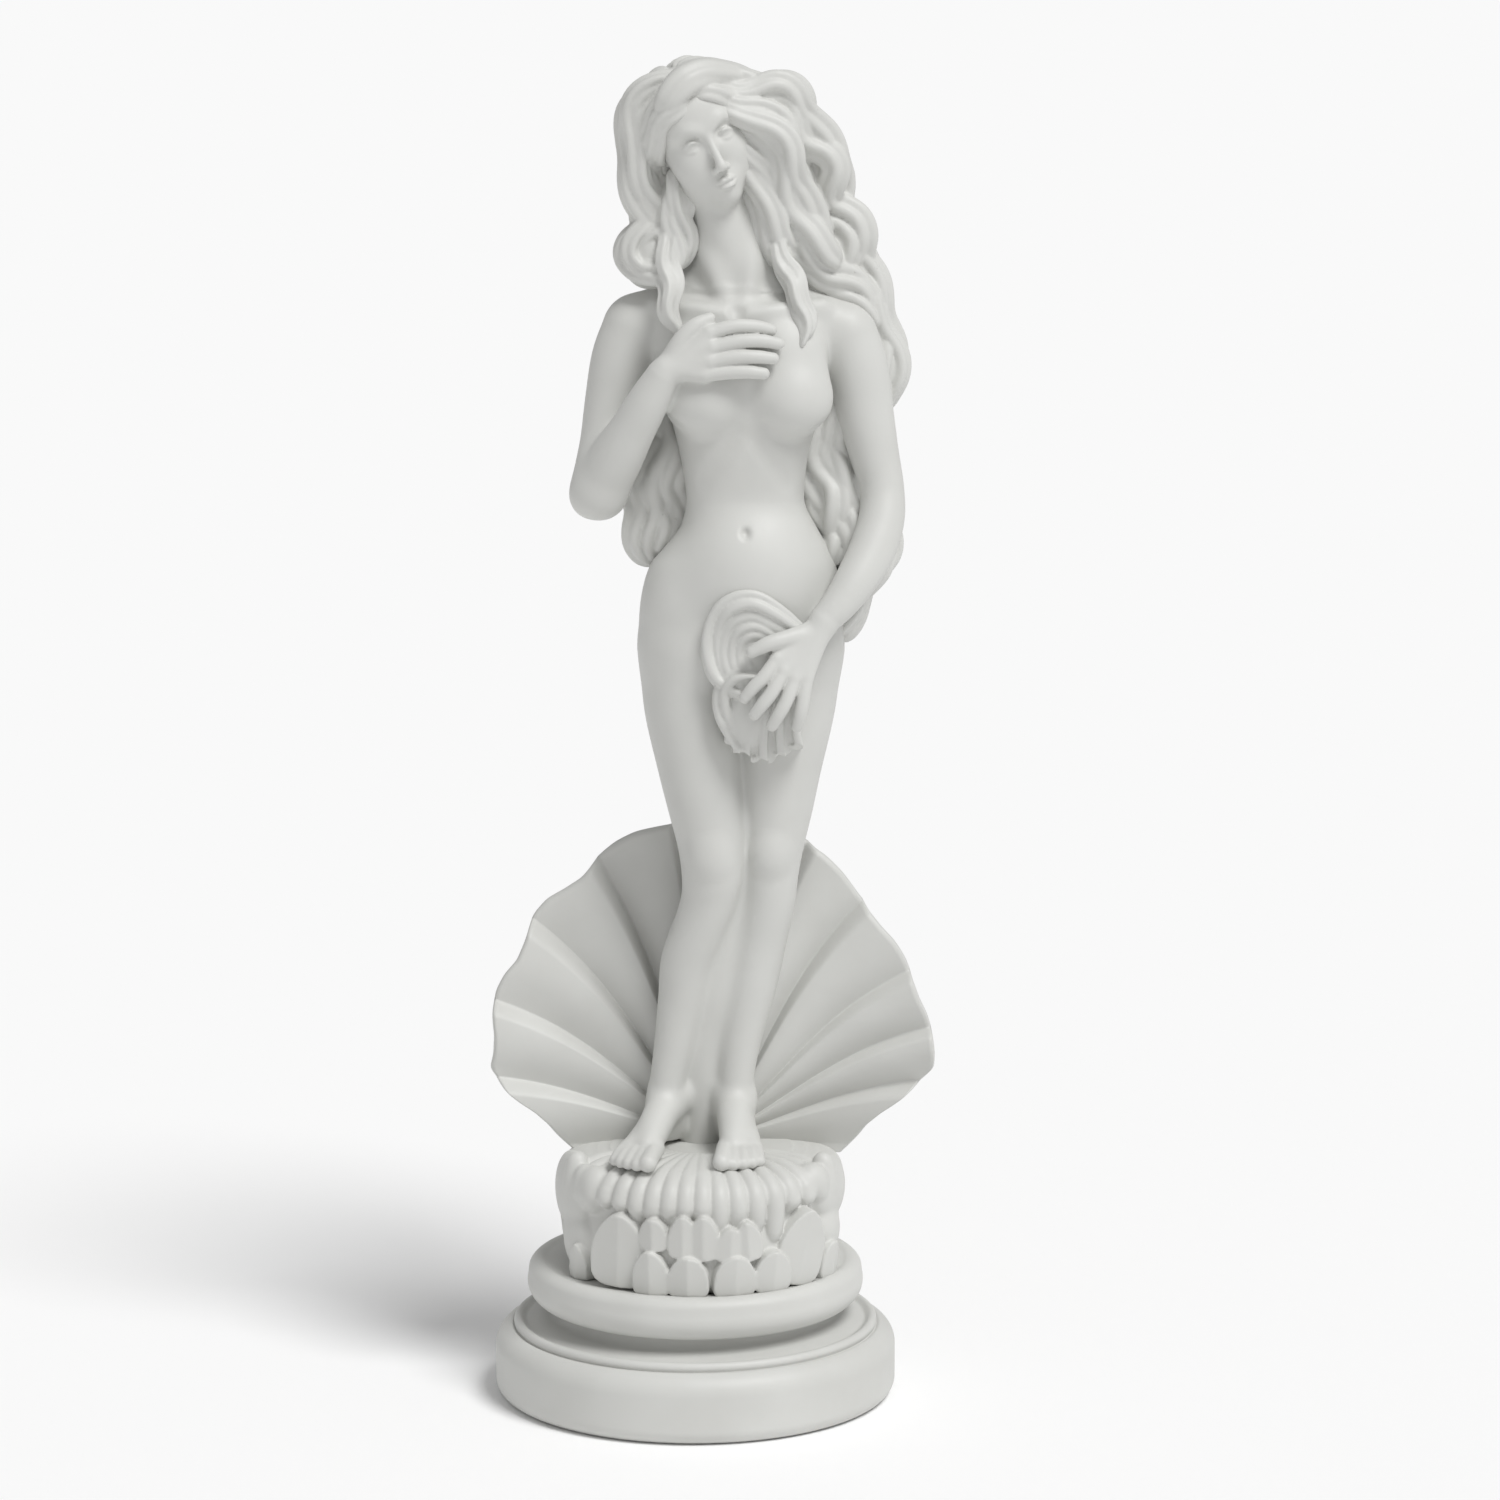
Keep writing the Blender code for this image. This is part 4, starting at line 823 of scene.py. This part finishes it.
RIBS = ((-66, 53.0), (-58, 51.0), (-50, 50.0), (-42, 49.0), (-34, 48.0), (-26.5, 45.6), (-19.5, 45.6),
        (-12.6, 46.0),
        (-6, 46.5), (1, 46.0), (8, 43.4), (15.5, 44.6), (23.5, 43.4), (32, 41.0), (40.5, 47.0), (49, 49.5),
        (57, 51.0), (65, 53.0))
SCALES = (
    (-34, 39.9, 6.6, 8.6, 1.7, 14, 4), (-18.5, 44.4, 3.2, 3.8, 2.0, 0, 0), (-7, 44.2, 3.3, 5.0, 1.7, 6, 0),
    (1.5, 44.0, 3.5, 5.2, 1.7, -4, 0), (11.5, 42.4, 3.2, 4.0, 1.7, 4, 0), (19, 43.0, 3.4, 4.6, 1.6, -8, -6),
    (44.4, 39.7, 6.0, 8.8, 1.6, -12, 10),
    (-57, 34.4, 3.0, 5.0, 1.5, 8, 8),
    (-19.8, 35.4, 4.2, 5.5, 1.7, 4, 0), (-4.5, 35.0, 4.5, 4.9, 1.9, -3, 0),
    (13.5, 34.9, 4.7, 5.0, 1.9, 3, 0),
    (29.8, 35.3, 4.4, 4.9, 1.8, -4, 0), (62, 34.6, 3.8, 4.6, 1.8, 0, 0),
    (-100, 41.0, 5.6, 7.4, 1.8, 0, 0), (-124, 38.0, 5.6, 6.8, 1.8, 0, 0), (-148, 43.0, 5.6, 7.2, 1.8, 0, 0),
    (-172, 38.0, 5.6, 6.8, 1.8, 0, 0), (164, 43.0, 5.6, 7.2, 1.8, 0, 0), (140, 38.0, 5.6, 6.8, 1.8, 0, 0),
    (120, 43.0, 5.2, 7.2, 1.8, 0, 0),
)


LOBES = ((-72, 48.4, 10.0, 9.2), (-63, 39.0, 6.4, 8.0), (-52, 51.0, 5.0, 5.4), (70, 49.4, 8.4, 7.8),
         (66, 40.6, 5.6, 6.4), (56, 52.6, 4.2, 4.2))


def plate(field, centre, turn, half, tip, soft):
    """A scale: distance to the plate |w| = t inside the rim (|u / a|^n + |v / b|^n)^(1/n) = 1,
    n being tip above its middle and 4 below, where the sides flare; its face falls away to both sides of
    a ridge down its middle."""
    wide, thick, tall = half
    reach = math.hypot(wide, tall) + 2.0
    cut, x, y, z = field.window(centre - reach, centre + reach)
    x, y, z = x - centre[0], y - centre[1], z - centre[2]
    u, w, v = (x * axis[0] + y * axis[1] + z * axis[2] for axis in turn.T)
    v = v / tall
    power = np.where(v > 0, tip, 4.0)
    rim = (np.abs(u / (wide * (1 - 0.08 * v))) ** power + np.abs(v) ** power) ** (1 / power)
    face = np.abs(w) - thick * (1.15 - 0.4 * np.clip(np.abs(u) / wide, 0, 1))
    edge = (rim - 1) * min(wide, tall)
    field.blend(cut, np.maximum(edge, face), soft)


def mound(material):
    """The carved mound: the zero level of a field of a turned core, the ribs of the lower valve and the
    scales."""
    step = 0.33
    field = Field((-37, -38, MOUND_BOTTOM - 1), (40, 38, MOUND_TOP + 2), step)
    field.frame((0, 0, 0))
    rim = MOUND_RADIUS + MOUND_LIP
    levels = ((MOUND_TOP - 0.5, 0.6), (MOUND_TOP - 1.4, 0.8), (MOUND_TOP - 3.0, 0.9),
              (MOUND_TOP - 5.5, 0.94),
              (MOUND_TOP - 8.0, 0.92), (MOUND_TOP - 10.5, 0.9), (MOUND_TOP - 14.0, 0.91),
              (MOUND_TOP - 20.0, 0.915),
              (MOUND_BOTTOM, 0.87))
    high = along([(share * rim, 0, z) for z, share in levels], 0.4)
    level = np.arange(field.count[2]) * field.step + field.low[2]
    radius = np.interp(level, high[::-1, 2], high[::-1, 0])
    x = (field.low[0] + field.step * np.arange(field.count[0]) - MOUND_SHIFT)[:, None, None]
    y = (field.low[1] + field.step * np.arange(field.count[1]))[None, :, None]
    ends = np.maximum(MOUND_BOTTOM + 0.02 - level, level - MOUND_TOP + 0.5)[None, None]
    body = np.maximum(np.sqrt(x**2 + y**2) - radius[None, None], ends)
    field.blend((slice(None),) * 3, body.astype(np.float32), 1.0)

    def spot(r, degrees, z):
        """Place at radius r and height z, degrees round from the front."""
        t = math.radians(degrees)
        return (MOUND_SHIFT + r * math.sin(t), -r * math.cos(t), z)

    for degrees, low in RIBS:
        rows = ((0.3 * rim, MOUND_TOP - 0.8, 1.1), (0.55 * rim, MOUND_TOP - 1.0, 1.6),
                (0.74 * rim, MOUND_TOP - 1.7, 2.0),
                (rim - 4.8, MOUND_TOP - 3.8, 2.4), (rim - 3.2, MOUND_TOP - 6.6, 2.4),
                (rim - 3.9, low + 3.0, 2.3), (rim - 4.8, low, 1.2))
        field.limb([(*spot(r, degrees, z), width) for r, z, width in rows], 0.2, 0.8)
    for degrees in np.arange(-17, 6, 2.3):
        rows = ((0.35, -0.2, 0.3), (0.6, -0.1, 0.45), (0.78, -0.6, 0.5), (0.9, -3.2, 0.5))
        field.limb([(*spot(r * rim, degrees, MOUND_TOP + z), width) for r, z, width in rows], 0.2, 1.2)
    for degrees, z, wide, tall in LOBES:
        field.ball(spot(0.875 * rim, degrees, z), (wide, 3.6, tall), 0.8, rotation("Z", degrees))
    for degrees, z, wide, tall, tip, yaw, lean in SCALES:
        turn = rotation("Z", degrees + yaw) @ rotation("X", 7) @ rotation("Y", lean)
        reach = 0.915 if abs(degrees) < 80 else 0.87
        plate(field, np.array(spot(reach * rim, degrees, z)), turn, (wide, 2.5, tall), tip, 0.3)
    field.value = np.maximum(field.value, (MOUND_BOTTOM + 0.02 - level).astype(np.float32)[None, None])
    points, quads = level_mesh(field)
    obj = piece("mound", points, [quads], material, "figure_with_shell")
    soft = obj.modifiers.new("melt", "SMOOTH")
    soft.factor = 0.5
    soft.iterations = 2
    settle(obj)
    thinned(obj)


RING_RADIUS = 38.0
WAIST_RADIUS = 31.0
STEP_RADIUS = 41.2


def plinth(material):
    """Drum, waist and ring in one turned profile, its round stretches drawn as arcs."""
    def arc(r, z, radius, start, end, count):
        """Places on an arc about (r, z), from start to end degrees."""
        t = np.radians(np.linspace(start, end, count))
        return np.column_stack([r + radius * np.cos(t), z + radius * np.sin(t)])

    top = plinth_high[2] - 0.4
    drum_r = plinth_high[0]
    profile = np.vstack([
        [(0.5, top - 0.4), (RING_RADIUS - 8.6, top - 0.4)],
        arc(RING_RADIUS - 3.0, 28.2, 2.8, 118, 20, 24),
        arc(RING_RADIUS - 5.0, 26.0, 5.0, 14, -70, 30),
        arc(WAIST_RADIUS + 3.4, 20.6, 2.6, 120, 245, 16),
        [(STEP_RADIUS - 2.8, 16.75)],
        arc(STEP_RADIUS - 1.2, 16.5, 1.15, 110, -50, 16),
        [(STEP_RADIUS - 0.1, 15.35)],
        arc(drum_r - 5.0, 11.0, 5.0, 74, 0, 26),
        arc(drum_r - 3.4, 3.4, 3.4, 0, -74, 16),
        [(drum_r - 3.2, 0.0), (0.5, 0.0)],
    ])
    length = np.concatenate([[0], np.cumsum(np.hypot(*np.diff(profile, axis=0).T))])
    even = np.linspace(0, length[-1], 300)
    r, z = np.interp(even, length, profile[:, 0])[:, None], np.interp(even, length, profile[:, 1])[:, None]
    t = np.linspace(0, 2 * math.pi, 256, endpoint=False)[None]
    grid = np.stack([r * np.sin(t), r * np.cos(t), z + 0 * t], axis=-1)
    points, faces = gathered([grid])
    piece("turned_plinth", points, faces, material, "plinth")


def casting_stone():
    """Node group: faint clouding of the colour, and the fine grain of cast stone."""
    group = bpy.data.node_groups.new("casting_stone", "ShaderNodeTree")
    for name, kind, value in (("Light", "NodeSocketColor", (0.8, 0.8, 0.78, 1)),
                              ("Dark", "NodeSocketColor", (0.7, 0.7, 0.68, 1)),
                              ("Cloud Size", "NodeSocketFloat", 40.0),
                              ("Grain Size", "NodeSocketFloat", 1400.0)):
        group.interface.new_socket(name, in_out="INPUT", socket_type=kind).default_value = value
    for name, kind in (("Color", "NodeSocketColor"), ("Roughness", "NodeSocketFloat"),
                       ("Height", "NodeSocketFloat")):
        group.interface.new_socket(name, in_out="OUTPUT", socket_type=kind)
    nodes, links = group.nodes, group.links
    given, out = nodes.new("NodeGroupInput"), nodes.new("NodeGroupOutput")
    place = nodes.new("ShaderNodeTexCoord")
    cloud, grain = nodes.new("ShaderNodeTexNoise"), nodes.new("ShaderNodeTexNoise")
    cloud.inputs["Detail"].default_value = 4
    grain.inputs["Detail"].default_value = 2
    for texture, size in ((cloud, "Cloud Size"), (grain, "Grain Size")):
        links.new(place.outputs["Object"], texture.inputs["Vector"])
        links.new(given.outputs[size], texture.inputs["Scale"])
    mix = nodes.new("ShaderNodeMix")
    mix.data_type = "RGBA"
    share = nodes.new("ShaderNodeMapRange")
    share.inputs["From Min"].default_value = 0.4
    share.inputs["From Max"].default_value = 0.75
    links.new(cloud.outputs["Fac"], share.inputs["Value"])
    links.new(share.outputs["Result"], mix.inputs["Factor"])
    links.new(given.outputs["Light"], mix.inputs["A"])
    links.new(given.outputs["Dark"], mix.inputs["B"])
    links.new(mix.outputs["Result"], out.inputs["Color"])
    rough = nodes.new("ShaderNodeMapRange")
    rough.inputs["To Min"].default_value = 0.44
    rough.inputs["To Max"].default_value = 0.6
    links.new(grain.outputs["Fac"], rough.inputs["Value"])
    links.new(rough.outputs["Result"], out.inputs["Roughness"])
    links.new(grain.outputs["Fac"], out.inputs["Height"])
    return group


def alabaster(name, group, light, dark):
    """Satin white cast stone: its colour clouded between a lighter and a darker tone, fine grain in its
    roughness, and a faint bump.
    """
    made = bpy.data.materials.new(name)
    made.use_nodes = True
    nodes, links = made.node_tree.nodes, made.node_tree.links
    shader = nodes["Principled BSDF"]
    stone = nodes.new("ShaderNodeGroup")
    stone.node_tree = group
    stone.inputs["Light"].default_value = (*light, 1)
    stone.inputs["Dark"].default_value = (*dark, 1)
    bump = nodes.new("ShaderNodeBump")
    bump.inputs["Strength"].default_value = 0.12
    bump.inputs["Distance"].default_value = 0.0001
    links.new(stone.outputs["Color"], shader.inputs["Base Color"])
    links.new(stone.outputs["Roughness"], shader.inputs["Roughness"])
    links.new(stone.outputs["Height"], bump.inputs["Height"])
    links.new(bump.outputs["Normal"], shader.inputs["Normal"])
    return made


STONE_LIGHT = (0.63, 0.632, 0.608)
STONE_DARK = (0.58, 0.58, 0.556)
FLOOR_HALF = 30.0
FLOOR_COLOUR = (0.97, 0.97, 0.97, 1)
SENSOR_WIDTH = 36.0
LENS = 120.2
CAMERA_AT = (0.0124, -1.1, 0.336)
CAMERA_DIP = 9.74
WORLD_LIGHT = 0.41
KEY_LIGHT = 2.15
KEY_SOFTNESS = 24
KEY_FROM_ABOVE = 34
KEY_FROM_RIGHT = 42


def stage():
    """Pale floor, soft lights, and the camera at the photograph's height and angle."""
    mesh = bpy.data.meshes.new("floor")
    half = FLOOR_HALF
    mesh.from_pydata([(-half, -half, 0), (half, -half, 0), (half, half, 0), (-half, half, 0)], [],
                     [(0, 1, 2, 3)])
    floor = bpy.data.objects.new("floor", mesh)
    bpy.context.scene.collection.objects.link(floor)
    pale = bpy.data.materials.new("pale_floor")
    pale.use_nodes = True
    surface = pale.node_tree.nodes["Principled BSDF"]
    surface.inputs["Base Color"].default_value = FLOOR_COLOUR
    surface.inputs["Roughness"].default_value = 1.0
    surface.inputs["Specular IOR Level"].default_value = 0.0
    mesh.materials.append(pale)

    world = bpy.data.worlds.new("studio")
    world.use_nodes = True
    world.node_tree.nodes["Background"].inputs["Color"].default_value = (1, 1, 1, 1)
    world.node_tree.nodes["Background"].inputs["Strength"].default_value = WORLD_LIGHT
    bpy.context.scene.world = world
    bpy.context.scene.view_settings.view_transform = "Standard"

    lamp = bpy.data.lights.new("key", "SUN")
    lamp.angle = math.radians(KEY_SOFTNESS)
    lamp.energy = KEY_LIGHT
    key = bpy.data.objects.new("key", lamp)
    key.rotation_euler = (math.radians(KEY_FROM_ABOVE), 0, math.radians(KEY_FROM_RIGHT))
    bpy.context.scene.collection.objects.link(key)

    lens = bpy.data.cameras.new("camera")
    lens.sensor_width = SENSOR_WIDTH
    lens.lens = LENS
    camera = bpy.data.objects.new("camera", lens)
    camera.location = CAMERA_AT
    camera.rotation_euler = (math.radians(90 - CAMERA_DIP), 0, 0)
    bpy.context.scene.collection.objects.link(camera)
    bpy.context.scene.camera = camera


def main():
    """Every piece in its material, then the stage."""
    group = casting_stone()
    stone = alabaster("cast_alabaster", group, STONE_LIGHT, STONE_DARK)
    base = alabaster("plinth_alabaster", group, STONE_LIGHT, STONE_DARK)
    skin(stone)
    hair(stone)
    cloth(stone)
    shell(stone)
    mound(stone)
    plinth(base)
    stage()


main()
